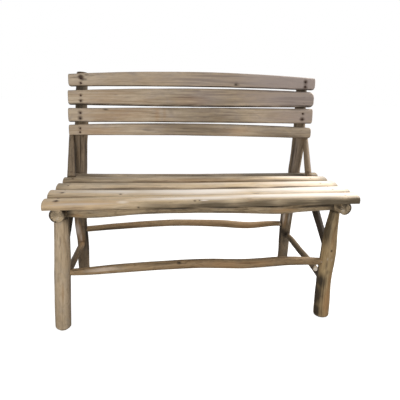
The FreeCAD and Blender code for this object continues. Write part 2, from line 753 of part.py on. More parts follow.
side_stretchers = {
    side: pole(
        f"side_stretcher_{side}", leg_point(side, of(f"{side}_side_stretcher_front_height")),
        post_low_point(side, of(f"{side}_side_stretcher_rear_height")),
        of("side_stretcher_radius"), SIDE_STRETCHER_SHARES[side], OUTWARD_SEAM_ALONG_Y[side],
        [leg_blanks[side], post_blanks[side]])
    for side in SIDES
}


# Knee braces: scribed to the leg and the rail, with a nail at each end

def knee_points(side):
    top_y = f"({LEG_Y} + {of('knee_brace_reach')})"
    foot_z = f"({rail_z(side, LEG_Y)} - {of('knee_brace_drop')})"
    return [leg_x(side, foot_z), LEG_Y, foot_z], [rail_x(side, top_y), top_y, rail_z(side, top_y)]


def knee_nail_spots(side):
    """One nail goes forward into the leg, and one goes up into the rail."""
    foot, top = knee_points(side)
    slope = f"({of('knee_brace_drop')} / {of('knee_brace_reach')})"
    radius = of("knee_brace_radius")
    in_leg = f"({of('leg_radius')} + {radius})"
    in_rail = f"({of(f'{side}_rail_radius')} + {radius})"
    low_z = f"({foot[2]} + {in_leg} * {slope})"
    low_head_y = f"({foot[1]} + {in_leg} + {radius} / sin(atan({slope})))"
    high_y = f"({top[1]} - {in_rail} / {slope})"
    high_head_z = f"({top[2]} - {in_rail} - {radius} / cos(atan({slope})))"
    low = (leg_x(side, low_z), low_head_y, low_z, *AIM["+Y"])
    high = (rail_x(side, high_y), high_y, high_head_z, *AIM["-Z"])
    return [low, high]


knee_nails, knee_bores = nailed("knee_brace_nails", knee_nail_spots("left") + knee_nail_spots("right"))
knee_braces = {}
for side in SIDES:
    foot, top = knee_points(side)
    blank = leaning_log(f"{side}_knee", foot, top, of("knee_brace_radius"), KNEE_BRACE_SHARES)
    knee_braces[side] = cut(f"knee_brace_{side}", blank, [leg_blanks[side], rail_blanks[side], knee_bores])


# Back struts: from the seat up to the outside of the posts, behind the back slats

def strut_points(side):
    foot_y = f"({POST_SEAT_Y} - {of('strut_foot_reach')})"
    outward = SIDES[side]
    foot_x = f"({rail_x(side, foot_y)} + {outward} * {of('strut_foot_outset')})"
    foot_z = f"({slat_under(side, foot_y)} + {of('slat_thickness_4')} - {of('strut_foot_depth')})"
    top_z = of("strut_top_height")
    beside = f"({of(f'{side}_post_radius')} + {of('strut_radius')} * {STRUT_SHARES[-1][3]} - {of('strut_scarf')})"
    top_x = f"({post_high_x(side, top_z)} + {outward} * {beside})"
    top_y = f"({post_high_y(side, top_z)} + {of('strut_top_back')})"
    return [foot_x, foot_y, foot_z], [top_x, top_y, top_z]


def strut_nail_spots(side):
    """One nail goes sideways into the post, and one goes down through the foot."""
    foot, top = strut_points(side)
    radius = of("strut_radius")
    slope = f"(({top[2]} - {foot[2]}) / ({top[1]} - {foot[1]}))"
    down_z = f"({foot[2]} + {radius} / cos(atan({slope})))"
    up_share = f"(({of('strut_nail_height')} - {foot[2]}) / ({top[2]} - {foot[2]}))"
    side_x, side_y = (f"({a} + ({b} - {a}) * {up_share})" for a, b in zip(foot[:2], top[:2]))
    head_x = f"({side_x} + {SIDES[side]} * ({radius} * {STRUT_NAIL_GIRTH} - {of('nail_sink')}))"
    aim = AIM["+X" if side == "right" else "-X"]
    return [(head_x, side_y, of("strut_nail_height"), *aim), (foot[0], foot[1], down_z, *AIM["+Z"])]


strut_nails, strut_bores = nailed("back_strut_nails", strut_nail_spots("left") + strut_nail_spots("right"))
back_struts = {}
for side in SIDES:
    foot, top = strut_points(side)
    blank = leaning_log(f"{side}_strut", foot, top, of("strut_radius"), STRUT_SHARES)
    under = [slat_logs[4], slat_logs[5], post_blanks[side], back_logs[4], strut_bores]
    back_struts[side] = cut(f"back_strut_{side}", blank, under)


# Finished pieces

finished = {}
for number in SLATS:
    tools = [seat_nails["left"][1], seat_nails["right"][1], strut_bores]
    finished[f"seat_slat_{number}"] = cut(f"seat_slat_{number}", slat_logs[number], tools)
for number in BACK_SLATS:
    tools = [back_nails["left"][1], back_nails["right"][1]]
    finished[f"back_slat_{number}"] = cut(f"back_slat_{number}", back_logs[number], tools)

POLE_BORES = {
    "left": (front_stretcher_left_bore, rear_stretcher_left_bore, rear_rail_left_bore, front_rail_left_bore),
    "right": (front_stretcher_right_bore, rear_stretcher_right_bore, rear_rail_right_bore, front_rail_right_bore),
}
for side in SIDES:
    front_stretcher_bore, rear_stretcher_bore, rear_rail_bore, front_rail_bore = POLE_BORES[side]
    _, side_front_bore, side_rear_bore = side_stretchers[side]
    leg_root = f"({of(f'{side}_rail_radius')} + {of('leg_radius')})"
    leg_top = [rail_x(side, LEG_Y), LEG_Y, rail_z(side, LEG_Y)]
    leg_tenon, leg_bore = tenon_and_mortise(
        f"{side}_leg", of("leg_tenon_radius"), of("leg_tenon_reach"), leg_root, leg_top, "+Z")
    leg_tools = [rail_blanks[side], front_rail_bore, front_stretcher_bore, side_front_bore, knee_bores]
    coped_leg = cut(f"{side}_leg_coped", leg_blanks[side], leg_tools)
    finished[f"front_leg_{side}"] = fused(f"front_leg_{side}", [coped_leg, leg_tenon])

    rail_root = f"({of(f'{side}_post_radius')} + {of('rail_tenon_radius')})"
    rail_end = [rail_x(side, POST_SEAT_Y), POST_SEAT_Y, rail_z(side, POST_SEAT_Y)]
    rail_tenon, rail_bore = tenon_and_mortise(
        f"{side}_rail", of("rail_tenon_radius"), of("rail_tenon_reach"), rail_root, rail_end, "+Y")
    rail_tools = [post_blanks[side], leg_bore, front_rail_bore, seat_nails[side][1], knee_bores, strut_bores]
    coped_rail = cut(f"{side}_rail_coped", rail_blanks[side], rail_tools + list(slat_logs.values()))
    finished[f"side_rail_{side}"] = fused(f"side_rail_{side}", [coped_rail, rail_tenon])

    post_tools = [rail_bore, rear_rail_bore, rear_stretcher_bore, side_rear_bore, back_nails[side][1], strut_bores]
    finished[f"rear_post_{side}"] = cut(
        f"rear_post_{side}", post_blanks[side], post_tools + list(back_logs.values()))

    finished[f"side_stretcher_{side}"] = side_stretchers[side][0]
    finished[f"knee_brace_{side}"] = knee_braces[side]
    finished[f"back_strut_{side}"] = back_struts[side]
    finished[f"seat_nails_{side}"] = seat_nails[side][0]
    finished[f"back_nails_{side}"] = back_nails[side][0]

finished["front_rail"] = front_rail
finished["rear_rail"] = rear_rail
finished["front_stretcher"] = front_stretcher
finished["rear_stretcher"] = rear_stretcher
finished["knee_brace_nails"] = knee_nails
finished["back_strut_nails"] = strut_nails

doc.recompute()
failed = [thing.Name for thing in doc.Objects if {"Invalid", "Error"} & set(thing.State)]
if failed:
    raise RuntimeError(f"failed: {failed}")

os.makedirs("parts", exist_ok=True)
for label, piece in finished.items():
    piece.Label = label
    shape = piece.Shape
    if shape.isNull() or not shape.isValid() or not shape.Solids:
        raise RuntimeError(f"{label} has no sound solid")
    shape.exportStep(f"parts/{label}.step")
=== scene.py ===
import math

import bmesh
import bpy
import numpy as np
from mathutils import Matrix, Vector


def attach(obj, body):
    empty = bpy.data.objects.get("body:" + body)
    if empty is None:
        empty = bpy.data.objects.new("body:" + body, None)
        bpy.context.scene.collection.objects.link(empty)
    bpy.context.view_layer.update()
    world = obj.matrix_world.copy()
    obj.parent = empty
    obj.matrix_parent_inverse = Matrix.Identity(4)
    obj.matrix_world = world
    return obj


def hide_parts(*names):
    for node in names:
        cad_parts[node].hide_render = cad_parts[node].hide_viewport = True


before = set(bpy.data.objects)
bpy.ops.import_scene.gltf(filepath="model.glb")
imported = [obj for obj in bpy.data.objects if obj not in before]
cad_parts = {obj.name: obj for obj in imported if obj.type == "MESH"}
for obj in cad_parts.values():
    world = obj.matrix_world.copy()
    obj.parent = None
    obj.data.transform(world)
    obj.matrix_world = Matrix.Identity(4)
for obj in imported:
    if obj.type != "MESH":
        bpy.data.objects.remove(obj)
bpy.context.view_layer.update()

MM = 0.001

# Studio
# The bench stands on a white floor in a white room, as if cut out. A soft lamp behind it, high
# up on the right, lights the seat past the back, and a weaker one in front on the left fills in.

scene = bpy.context.scene
scene.view_settings.view_transform = "Standard"


def colour(text):
    """A written sRGB colour as the linear colour that Blender's sockets take."""
    shares = [int(text[start:start + 2], 16) / 255 for start in (1, 3, 5)]
    return (*[s / 12.92 if s <= 0.04045 else ((s + 0.055) / 1.055) ** 2.4 for s in shares], 1)


def add(tree, kind, sockets=(), out=0, **settings):
    """Add a node with its settings and its sockets, in order or by name, and return an output or the node."""
    node = tree.nodes.new(kind)
    for name, value in settings.items():
        setattr(node, name, value)
    for name, value in sockets.items() if isinstance(sockets, dict) else enumerate(sockets):
        if isinstance(value, bpy.types.NodeSocket):
            tree.links.new(value, node.inputs[name])
        else:
            node.inputs[name].default_value = value
    return node if out is None else node.outputs[out]


def emptied(owner):
    """Turn on the nodes of a material or a world, and return its tree with nothing in it."""
    owner.use_nodes = True
    owner.node_tree.nodes.clear()
    return owner.node_tree


# The camera's lens, place and angles come from the photograph's perspective
camera_pitch, camera_yaw, camera_roll = (math.radians(angle) for angle in (16.8, 8.27, 1.71))
ahead = Vector((math.sin(camera_yaw) * math.cos(camera_pitch), math.cos(camera_yaw) * math.cos(camera_pitch),
                -math.sin(camera_pitch)))
level_right = Vector((math.cos(camera_yaw), -math.sin(camera_yaw), 0))
level_up = level_right.cross(ahead)
camera_right = math.cos(camera_roll) * level_right + math.sin(camera_roll) * level_up
camera_up = math.cos(camera_roll) * level_up - math.sin(camera_roll) * level_right
camera_data = bpy.data.cameras.new("camera")
camera_data.sensor_width = 36
camera_data.lens = 36.86
camera = bpy.data.objects.new("camera", camera_data)
camera.matrix_world = (Matrix.Translation((-0.2055, -1.462, 0.838))
                       @ Matrix((camera_right, camera_up, -ahead)).transposed().to_4x4())
scene.collection.objects.link(camera)
scene.camera = camera

for lamp_name, place, aim, size, power, tint in (
        ("key", (1.25, 0.35, 1.32), (0.1, -0.15, 0.47), 0.5, 31, "#FFF9F2"),
        ("fill", (-0.6, -2.0, 0.8), (-0.1, 0, 0.5), 1.1, 25.5, "#FFFCF7")):
    lamp_data = bpy.data.lights.new(lamp_name, "AREA")
    lamp_data.size = size
    lamp_data.energy = power
    lamp_data.color = colour(tint)[:3]
    lamp = bpy.data.objects.new(lamp_name, lamp_data)
    lamp.location = place
    lamp.rotation_euler = (Vector(aim) - lamp.location).to_track_quat("-Z", "Y").to_euler()
    scene.collection.objects.link(lamp)

room = bpy.data.worlds.new("white_room")
scene.world = room
tree = emptied(room)
rays = add(tree, "ShaderNodeLightPath", out=None).outputs
# The room lights the bench as a dim cool daylight, and looks white
seen = add(tree, "ShaderNodeMath", (rays["Is Camera Ray"], rays["Is Glossy Ray"]), operation="MAXIMUM")
seen = add(tree, "ShaderNodeMath", (seen, rays["Is Transmission Ray"]), operation="MAXIMUM")
daylight = add(tree, "ShaderNodeBackground", {"Color": colour("#F1F3FF"), "Strength": 0.27})
white = add(tree, "ShaderNodeBackground", {"Color": (1, 1, 1, 1), "Strength": 1.0})
either = add(tree, "ShaderNodeMixShader", (seen, daylight, white))
add(tree, "ShaderNodeOutputWorld", {"Surface": either}, out=None)

floor_reach = 12
floor_mesh = bpy.data.meshes.new("floor")
floor_mesh.from_pydata([(-floor_reach, -floor_reach, 0), (floor_reach, -floor_reach, 0),
                        (floor_reach, floor_reach, 0), (-floor_reach, floor_reach, 0)], [], [(0, 1, 2, 3)])
floor = bpy.data.objects.new("floor", floor_mesh)
scene.collection.objects.link(floor)
# Matt paint, a little grey for the light that it throws back, and near white to the camera
floor_paint = bpy.data.materials.new("white_floor_paint")
tree = emptied(floor_paint)
rays = add(tree, "ShaderNodeLightPath", out=None).outputs
matt = add(tree, "ShaderNodeBsdfDiffuse", {"Color": colour("#9C9C9A")})
pale = add(tree, "ShaderNodeBsdfDiffuse", {"Color": colour("#AFAFAF")})
glow = add(tree, "ShaderNodeEmission", {"Color": (1, 1, 1, 1), "Strength": 0.92})
lit = add(tree, "ShaderNodeAddShader", (pale, glow))
shown = add(tree, "ShaderNodeMixShader", (rays["Is Camera Ray"], matt, lit))
add(tree, "ShaderNodeOutputMaterial", {"Surface": shown}, out=None)
floor_mesh.materials.append(floor_paint)


# Front legs
# Two peeled branches of a dense yellow-brown hardwood, about 50 mm thick, with the bark scraped
# off and nothing put on. The right one is browner, with painted shade turning its left side near
# black low down. Their tops are scribed round the side rails that they carry.

def peeled_wood(name, pale, middle, dark, grey, deep, roughness, mottled):
    """Bare, weathered branch wood: matt, streaked along the grain, with silvered patches and checks."""
    material = bpy.data.materials.new(name)
    tree = emptied(material)
    grain = add(tree, "ShaderNodeAttribute", out="Vector", attribute_name="grain")

    # Each pattern's size in millimetres, across and along the grain, its detail and its distortion
    patterns = {}
    for pattern, across, along, detail, distortion in (
            ("tone", 42, 190, 3, 0.4), ("figure", 8, 210, 4, 0.7), ("streak", 3.2, 130, 3, 0),
            ("fibre", 1.2, 36, 3, 0), ("weather", 26, 70, 5, 1.0), ("mottle", 10, 30, 4, 1.2),
            ("check", 9, 380, 1.5, 0), ("check_place", 34, 150, 2, 0)):
        spread = add(tree, "ShaderNodeMapping", {
            "Vector": grain, "Scale": (1 / (across * MM), 1 / (across * MM), 1 / (along * MM))})
        patterns[pattern] = add(tree, "ShaderNodeTexNoise", {
            "Vector": spread, "Scale": 1, "Detail": detail, "Roughness": 0.6, "Distortion": distortion}, out="Fac")

    # Fine drying checks, where one noise crosses its middle value
    off_middle = add(tree, "ShaderNodeMath", (patterns["check"], 0.5), operation="SUBTRACT")
    off_middle = add(tree, "ShaderNodeMath", (off_middle,), operation="ABSOLUTE")
    thin = add(tree, "ShaderNodeMapRange", (off_middle, 0.003, 0.013, 1, 0))
    place = add(tree, "ShaderNodeMapRange", (patterns["check_place"], 0.55, 0.64))
    checks = add(tree, "ShaderNodeMath", (thin, place), operation="MULTIPLY")

    # Each layer: the pattern, where it starts and is full, how much it covers, and its colour
    shade = colour(pale)
    for share, low, high, strength, tint in (
            (patterns["tone"], 0.34, 0.66, 0.9, middle), (patterns["weather"], 0.48, 0.72, 0.6, grey),
            (patterns["figure"], 0.5, 0.8, 0.6, dark), (patterns["streak"], 0.5, 0.8, 0.5, dark),
            (patterns["fibre"], 0.42, 0.85, 0.35, dark), (patterns["mottle"], 0.5, 0.68, mottled, dark),
            (checks, 0, 1, 0.8, deep)):
        amount = add(tree, "ShaderNodeMapRange", (share, low, high, 0, strength))
        shade = add(tree, "ShaderNodeMix", {0: amount, 6: shade, 7: colour(tint)}, out=2, data_type="RGBA")

    # Sawn ends: growth rings round the pith, splits that run out from it, and a darker band on the worn
    # edge round each end. The rings are drawn 7 mm apart, because true ones of 2 mm would be too fine to show.
    ring_spacing, ring_bend = 7 * MM, 12 * MM
    section = add(tree, "ShaderNodeVectorMath", (grain, (1, 1, 0)), operation="MULTIPLY")
    wobble = add(tree, "ShaderNodeTexNoise", {"Vector": section, "Scale": 60, "Detail": 2}, out="Fac")
    reach = add(tree, "ShaderNodeVectorMath", (section,), out="Value", operation="LENGTH")
    bent = add(tree, "ShaderNodeMath", (wobble, ring_bend, reach), operation="MULTIPLY_ADD")
    turns = add(tree, "ShaderNodeMath", (bent, 2 * math.pi / ring_spacing), operation="MULTIPLY")
    rings = add(tree, "ShaderNodeMath", (turns,), operation="SINE")
    ring_share = add(tree, "ShaderNodeMapRange", (rings, -0.3, 1, 0.1, 0.34))
    sawn = add(tree, "ShaderNodeMix", {0: ring_share, 6: colour(pale), 7: colour(dark)}, out=2, data_type="RGBA")
    heading = add(tree, "ShaderNodeVectorMath", (section,), operation="NORMALIZE")
    fan = add(tree, "ShaderNodeTexNoise", {"Vector": heading, "Scale": 1.9, "Detail": 2}, out="Fac")
    fan = add(tree, "ShaderNodeMath", (fan, 0.5), operation="SUBTRACT")
    fan = add(tree, "ShaderNodeMath", (fan,), operation="ABSOLUTE")
    splits = add(tree, "ShaderNodeMapRange", (fan, 0.012, 0.045, 0.6, 0))
    sawn = add(tree, "ShaderNodeMix", {0: splits, 6: sawn, 7: colour(deep)}, out=2, data_type="RGBA")
    end = add(tree, "ShaderNodeAttribute", out="Fac", attribute_name="end")
    worn_rim_darkening = add(tree, "ShaderNodeMapRange", (end, 0.25, 0.6, 0, 0.5))
    shade = add(tree, "ShaderNodeMix", {0: worn_rim_darkening, 6: shade, 7: colour(deep)}, out=2, data_type="RGBA")
    cut = add(tree, "ShaderNodeMapRange", (end, 0.8, 1))
    shade = add(tree, "ShaderNodeMix", {0: cut, 6: shade, 7: sawn}, out=2, data_type="RGBA")

    # Marks kept on the mesh, each from 0, none, to 1, whose edges follow the figure, except a crack's
    ragged = add(tree, "ShaderNodeMath", (patterns["figure"], 0.5), operation="SUBTRACT")
    # Some of these marks are partly painted light: stained and blackened also paint shade in slits, under overhangs
    # and on sides turned from the lamps, bleached also paints the highlight on the seat's crowns, and bark also
    # paints the shade along slat edges
    for label, strength, tint in (
            ("silvered", 0.8, "#ADA09C"), ("warm", 0.65, "#B08659"), ("stained_and_shaded", 0.85, "#3E3423"),
            ("bleached_and_highlit", 0.87, "#F8F3EB"), ("bark", 0.75, "#4A3A27"), ("blackened_and_shaded", 0.9, "#231B13"),
            ("rust", 0.88, "#432B1A"), ("knot", 0.9, deep), ("crack", 1.0, "#1C140D")):
        raggedness = 0.0 if label == "crack" else 0.9
        near = add(tree, "ShaderNodeAttribute", out="Fac", attribute_name=label)
        near = add(tree, "ShaderNodeMath", (ragged, raggedness, near), operation="MULTIPLY_ADD")
        amount = add(tree, "ShaderNodeMapRange", (near, 0.22, 0.85, 0, strength))
        shade = add(tree, "ShaderNodeMix", {0: amount, 6: shade, 7: colour(tint)}, out=2, data_type="RGBA")

    # Raised fibres and sunken checks under 1 mm deep
    relief = add(tree, "ShaderNodeMath", (patterns["streak"], 0.8, patterns["fibre"]), operation="MULTIPLY_ADD")
    relief = add(tree, "ShaderNodeMath", (checks, -1.3, relief), operation="MULTIPLY_ADD")
    bump = add(tree, "ShaderNodeBump", {"Height": relief, "Distance": 0.6 * MM, "Strength": 0.7})
    rough = add(tree, "ShaderNodeMapRange", (patterns["figure"], 0.3, 0.7, roughness, roughness + 0.15))
    surface = add(tree, "ShaderNodeBsdfPrincipled", {
        "Base Color": shade, "Roughness": rough, "Specular IOR Level": 0.35, "Normal": bump})
    add(tree, "ShaderNodeOutputMaterial", {"Surface": surface}, out=None)
    return material


def open_tree(name, inputs):
    """A geometry tree with named inputs; returns the tree, its input sockets and their identifiers."""
    tree = bpy.data.node_groups.new(name, "GeometryNodeTree")
    identifiers = {}
    for label, kind in inputs:
        socket = tree.interface.new_socket(name=label, in_out="INPUT", socket_type=f"NodeSocket{kind}")
        identifiers[label] = socket.identifier
    tree.interface.new_socket(name="Geometry", in_out="OUTPUT", socket_type="NodeSocketGeometry")
    return tree, add(tree, "NodeGroupInput", out=None).outputs, identifiers


def worn_inset(tree, to_end, edge):
    """How much narrower a piece is near a rounded end, and how near the end that is, from 0 to 1."""
    inside = add(tree, "ShaderNodeMath", (to_end, edge), operation="DIVIDE", use_clamp=True)
    near = add(tree, "ShaderNodeMath", (1.0, inside), operation="SUBTRACT")
    square = add(tree, "ShaderNodeMath", (near, near), operation="MULTIPLY")
    rest = add(tree, "ShaderNodeMath", (1.0, square), operation="SUBTRACT", use_clamp=True)
    kept = add(tree, "ShaderNodeMath", (rest,), operation="SQRT")
    lost = add(tree, "ShaderNodeMath", (1.0, kept), operation="SUBTRACT")
    return add(tree, "ShaderNodeMath", (lost, edge), operation="MULTIPLY"), near


def end_tree(tree, asked, mesh):
    """End a tree in a smooth, real mesh of the material asked for, and return the tree."""
    smooth = add(tree, "GeometryNodeSetShadeSmooth", {"Geometry": mesh})
    whole = add(tree, "GeometryNodeRealizeInstances", {"Geometry": smooth})
    dressed = add(tree, "GeometryNodeSetMaterial", {"Geometry": whole, "Material": asked["Material"]})
    add(tree, "NodeGroupOutput", {"Geometry": dressed}, out=None)
    return tree


def lumpy_end(tree, asked, mesh, fields):
    """Store the fields on the mesh, raise soft lumps on it along its normals, and end the tree."""
    for label, kind, field in fields:
        mesh = add(tree, "GeometryNodeStoreNamedAttribute", {"Geometry": mesh, "Name": label, "Value": field},
                   data_type=kind, domain="POINT")
    (_, _, grain), (_, _, end) = fields[:2]
    across = add(tree, "ShaderNodeMath", (1.0, asked["Lump width"]), operation="DIVIDE")
    along = add(tree, "ShaderNodeMath", (1.0, asked["Lump length"]), operation="DIVIDE")
    spread = add(tree, "ShaderNodeCombineXYZ", (across, across, along))
    place = add(tree, "ShaderNodeVectorMath", (grain, spread), operation="MULTIPLY")
    noise = add(tree, "ShaderNodeTexNoise", {
        "Vector": place, "Scale": 1, "Detail": 2.5, "Roughness": 0.55}, out="Fac")
    level = add(tree, "ShaderNodeMath", (noise, 0.5), operation="SUBTRACT")
    height = add(tree, "ShaderNodeMath", (level, asked["Lump height"]), operation="MULTIPLY")
    inner = add(tree, "ShaderNodeMath", (1.0, end), operation="SUBTRACT")
    height = add(tree, "ShaderNodeMath", (height, inner), operation="MULTIPLY")
    outward = add(tree, "GeometryNodeInputNormal")
    push = add(tree, "ShaderNodeVectorMath", {0: outward, "Scale": height}, operation="SCALE")
    return end_tree(tree, asked, add(tree, "GeometryNodeSetPosition", {"Geometry": mesh, "Offset": push}))


# The tree that grows a pole round its crooked line. Each end is a slightly domed saw cut with
# a worn edge, and the grain's coordinates follow the pole.
tree, asked, pole_inputs = open_tree("peeled_pole", (
    ("Geometry", "Geometry"), ("Sides", "Int"), ("Worn edge", "Float"), ("End dome", "Float"),
    ("Lump height", "Float"), ("Lump width", "Float"), ("Lump length", "Float"), ("Seed", "Float"),
    ("Material", "Material")))
line = add(tree, "GeometryNodeMeshToCurve", {"Mesh": asked["Geometry"]})
along = add(tree, "GeometryNodeSplineParameter", out="Length")
length = add(tree, "GeometryNodeSplineLength", out="Length")
to_last = add(tree, "ShaderNodeMath", (length, along), operation="SUBTRACT")
to_end = add(tree, "ShaderNodeMath", (along, to_last), operation="MINIMUM")
past_dome = add(tree, "ShaderNodeMath", (to_end, asked["End dome"]), operation="SUBTRACT")
inset, near_end = worn_inset(tree, past_dome, asked["Worn edge"])
_, near_pith = worn_inset(tree, to_end, asked["End dome"])
# The dome stops a little short of the pith, so that the last ring isn't a point
dome_share = 0.96
near_pith = add(tree, "ShaderNodeMath", (near_pith, dome_share), operation="MULTIPLY")
square = add(tree, "ShaderNodeMath", (near_pith, near_pith), operation="MULTIPLY")
face = add(tree, "ShaderNodeMath", (1.0, square), operation="SUBTRACT")
face = add(tree, "ShaderNodeMath", (face,), operation="SQRT")
girth = add(tree, "GeometryNodeInputNamedAttribute", {"Name": "girth"}, data_type="FLOAT")
girth = add(tree, "ShaderNodeMath", (girth, inset), operation="SUBTRACT")
girth = add(tree, "ShaderNodeMath", (girth, face), operation="MULTIPLY")
path = add(tree, "GeometryNodeCaptureAttribute", {"Geometry": line}, out=None)
for label, field in (("along", along), ("girth", girth), ("end", near_end)):
    path.capture_items.new("FLOAT", label)
    tree.links.new(field, path.inputs[label])
circle = add(tree, "GeometryNodeCurvePrimitiveCircle", {"Resolution": asked["Sides"], "Radius": 1.0})
rim = add(tree, "GeometryNodeCaptureAttribute", {"Geometry": circle}, out=None)
rim.capture_items.new("VECTOR", "rim")
tree.links.new(add(tree, "GeometryNodeInputPosition"), rim.inputs["rim"])
swept = add(tree, "GeometryNodeCurveToMesh", {
    "Curve": path.outputs["Geometry"], "Profile Curve": rim.outputs["Geometry"], "Scale": path.outputs["girth"],
    "Fill Caps": True})
across = add(tree, "ShaderNodeVectorMath", {0: rim.outputs["rim"], "Scale": path.outputs["girth"]},
             operation="SCALE")
lengthwise = add(tree, "ShaderNodeMath", (path.outputs["along"], asked["Seed"]), operation="ADD")
lengthwise = add(tree, "ShaderNodeCombineXYZ", {2: lengthwise})
grain = add(tree, "ShaderNodeVectorMath", (across, lengthwise), operation="ADD")
pole_tree = lumpy_end(tree, asked, swept, (
    ("grain", "FLOAT_VECTOR", grain), ("end", "FLOAT", path.outputs["end"])))

# Where rings stand near an end, in millimetres from it
END_RINGS = np.array([0, 0.04, 0.12, 0.26, 0.5, 0.8, 1.15, 1.6, 2.2, 3, 4, 5.4, 7.4])


def spaced(length, spacing=3):
    """Distances along a piece at which its rings stand."""
    middle = np.linspace(END_RINGS[-1], length - END_RINGS[-1], int(length / spacing))[1:-1]
    return np.r_[END_RINGS, middle, length - END_RINGS[::-1]]


def smooth_line(stations, upright_start):
    """Points of a smooth line through (x, y, z, radius) stations, all in millimetres."""
    given = np.array(stations, float)
    reach = np.r_[0, np.cumsum(np.linalg.norm(np.diff(given[:, :3], axis=0), axis=1))]
    steps = np.diff(reach)[:, None]
    slopes = np.diff(given, axis=0) / steps
    leans = np.vstack([slopes[:1], (slopes[1:] + slopes[:-1]) / 2, slopes[-1:]])
    if upright_start:
        leans[0, :3] = (0, 0, 1)
    wanted = spaced(reach[-1])
    spans = np.clip(np.searchsorted(reach, wanted, side="right") - 1, 0, len(reach) - 2)
    share = ((wanted - reach[spans]) / steps[spans, 0])[:, None]
    lean_first, lean_last = leans[spans] * steps[spans], leans[spans + 1] * steps[spans]
    return (given[spans] * (2 * share ** 3 - 3 * share ** 2 + 1)
            + lean_first * (share ** 3 - 2 * share ** 2 + share)
            + given[spans + 1] * (3 * share ** 2 - 2 * share ** 3)
            + lean_last * (share ** 3 - share ** 2))


# A saw cut's edge shows sharp from this bend on, in degrees
SHARP_BEND = 42


def grown(tree, identifiers, source, name, values):
    """The plain mesh that a geometry tree makes from a source mesh, as a finished object."""
    piece = bpy.data.objects.new(name, source)
    scene.collection.objects.link(piece)
    modifier = piece.modifiers.new("grow", "NODES")
    modifier.node_group = tree
    for label, value in values.items():
        modifier[identifiers[label]] = value
    mesh = bpy.data.meshes.new_from_object(piece.evaluated_get(bpy.context.evaluated_depsgraph_get()))
    mesh.name = name
    piece.modifiers.remove(modifier)
    piece.data = mesh
    mesh.set_sharp_from_angle(angle=math.radians(SHARP_BEND))
    return piece


def pole(name, stations, material, seed, sides, worn=4, dome=1.2, lump=1.6, lump_width=26, lump_length=70,
         upright_start=False):
    """A peeled pole through (x, y, z, radius) stations; sizes in millimetres."""
    points = smooth_line(stations, upright_start) * MM
    path = bpy.data.meshes.new(f"{name}_line")
    path.from_pydata([tuple(point) for point in points[:, :3]], [(n, n + 1) for n in range(len(points) - 1)], [])
    path.attributes.new("girth", "FLOAT", "POINT").data.foreach_set("value", points[:, 3].astype(np.float32))
    return grown(pole_tree, pole_inputs, path, name, {
        "Sides": sides, "Worn edge": worn * MM, "End dome": dome * MM, "Lump height": lump * MM,
        "Lump width": lump_width * MM, "Lump length": lump_length * MM, "Seed": float(seed), "Material": material})


def read(piece, *fields):
    """Arrays of a piece's points, normals or grain."""
    found = []
    for field in fields:
        values = np.empty(len(piece.data.vertices) * 3, np.float32)
        if field == "grain":
            piece.data.attributes["grain"].data.foreach_get("vector", values)
        else:
            piece.data.vertices.foreach_get(field, values)
        found.append(values.reshape(-1, 3).astype(float))
    return found


def keep(piece, field, values):
    """Write changed points or grain, or a new mark, back to a piece."""
    values = values.astype(np.float32).ravel()
    if field == "co":
        piece.data.vertices.foreach_set("co", values)
        piece.data.update()
    elif field == "grain":
        piece.data.attributes["grain"].data.foreach_set("vector", values)
    else:
        piece.data.attributes.new(field, "FLOAT", "POINT").data.foreach_set("value", values)


# A spot that is further than this from a piece, in millimetres, belongs to another piece
SPOT_REACH = 16


def patch(piece, name, spots):
    """Mark patches, each (x, y, z, reach along the grain, reach across it) in millimetres and a strength."""
    places, grain = read(piece, "co", "grain")
    nearness = np.zeros(len(places))
    for *spot, along, across, strength in spots:
        away = np.linalg.norm(places - np.array(spot) * MM, axis=1)
        if away.min() < SPOT_REACH * MM:
            off = (grain - grain[np.argmin(away)]) / MM
            share = (off[:, 2] / along) ** 2 + (off[:, 0] ** 2 + off[:, 1] ** 2) / across ** 2
            nearness = np.maximum(nearness, strength * np.exp(-share))
    keep(piece, name, nearness)


def mark(piece, marks):
    """Mark every kind of patch in a piece's table."""
    for name, spots in marks.items():
        patch(piece, name, spots)


# How far a knot swells the wood and how far along the grain it reaches, as shares of its radius
KNOT_SWELL, KNOT_LENGTH = 0.22, 1.5


def knots(piece, spots):
    """Swell a piece at its knots, each (x, y, z, radius) in millimetres, and lead the grain round them."""
    places, outward, grain = read(piece, "co", "normal", "grain")
    nearness = np.zeros(len(places))
    for *spot, size in spots:
        start = np.argmin(np.linalg.norm(places - np.array(spot) * MM, axis=1))
        off = grain - grain[start]
        apart = np.sqrt((off[:, 2] / KNOT_LENGTH) ** 2 + off[:, 0] ** 2 + off[:, 1] ** 2) / (size * MM)
        nearness = np.maximum(nearness, np.exp(-apart ** 2))
        places += outward * (KNOT_SWELL * size * MM * np.exp(-(apart / 2) ** 2))[:, None]
        # Close to the knot the grain's lines are pushed aside, and far from it they run as before
        grain[:, :2] = grain[start, :2] + off[:, :2] * (1 - 0.9 / (apart ** 2 + 1.1))[:, None]
    keep(piece, "co", places)
    keep(piece, "grain", grain)
    keep(piece, "knot", nearness)


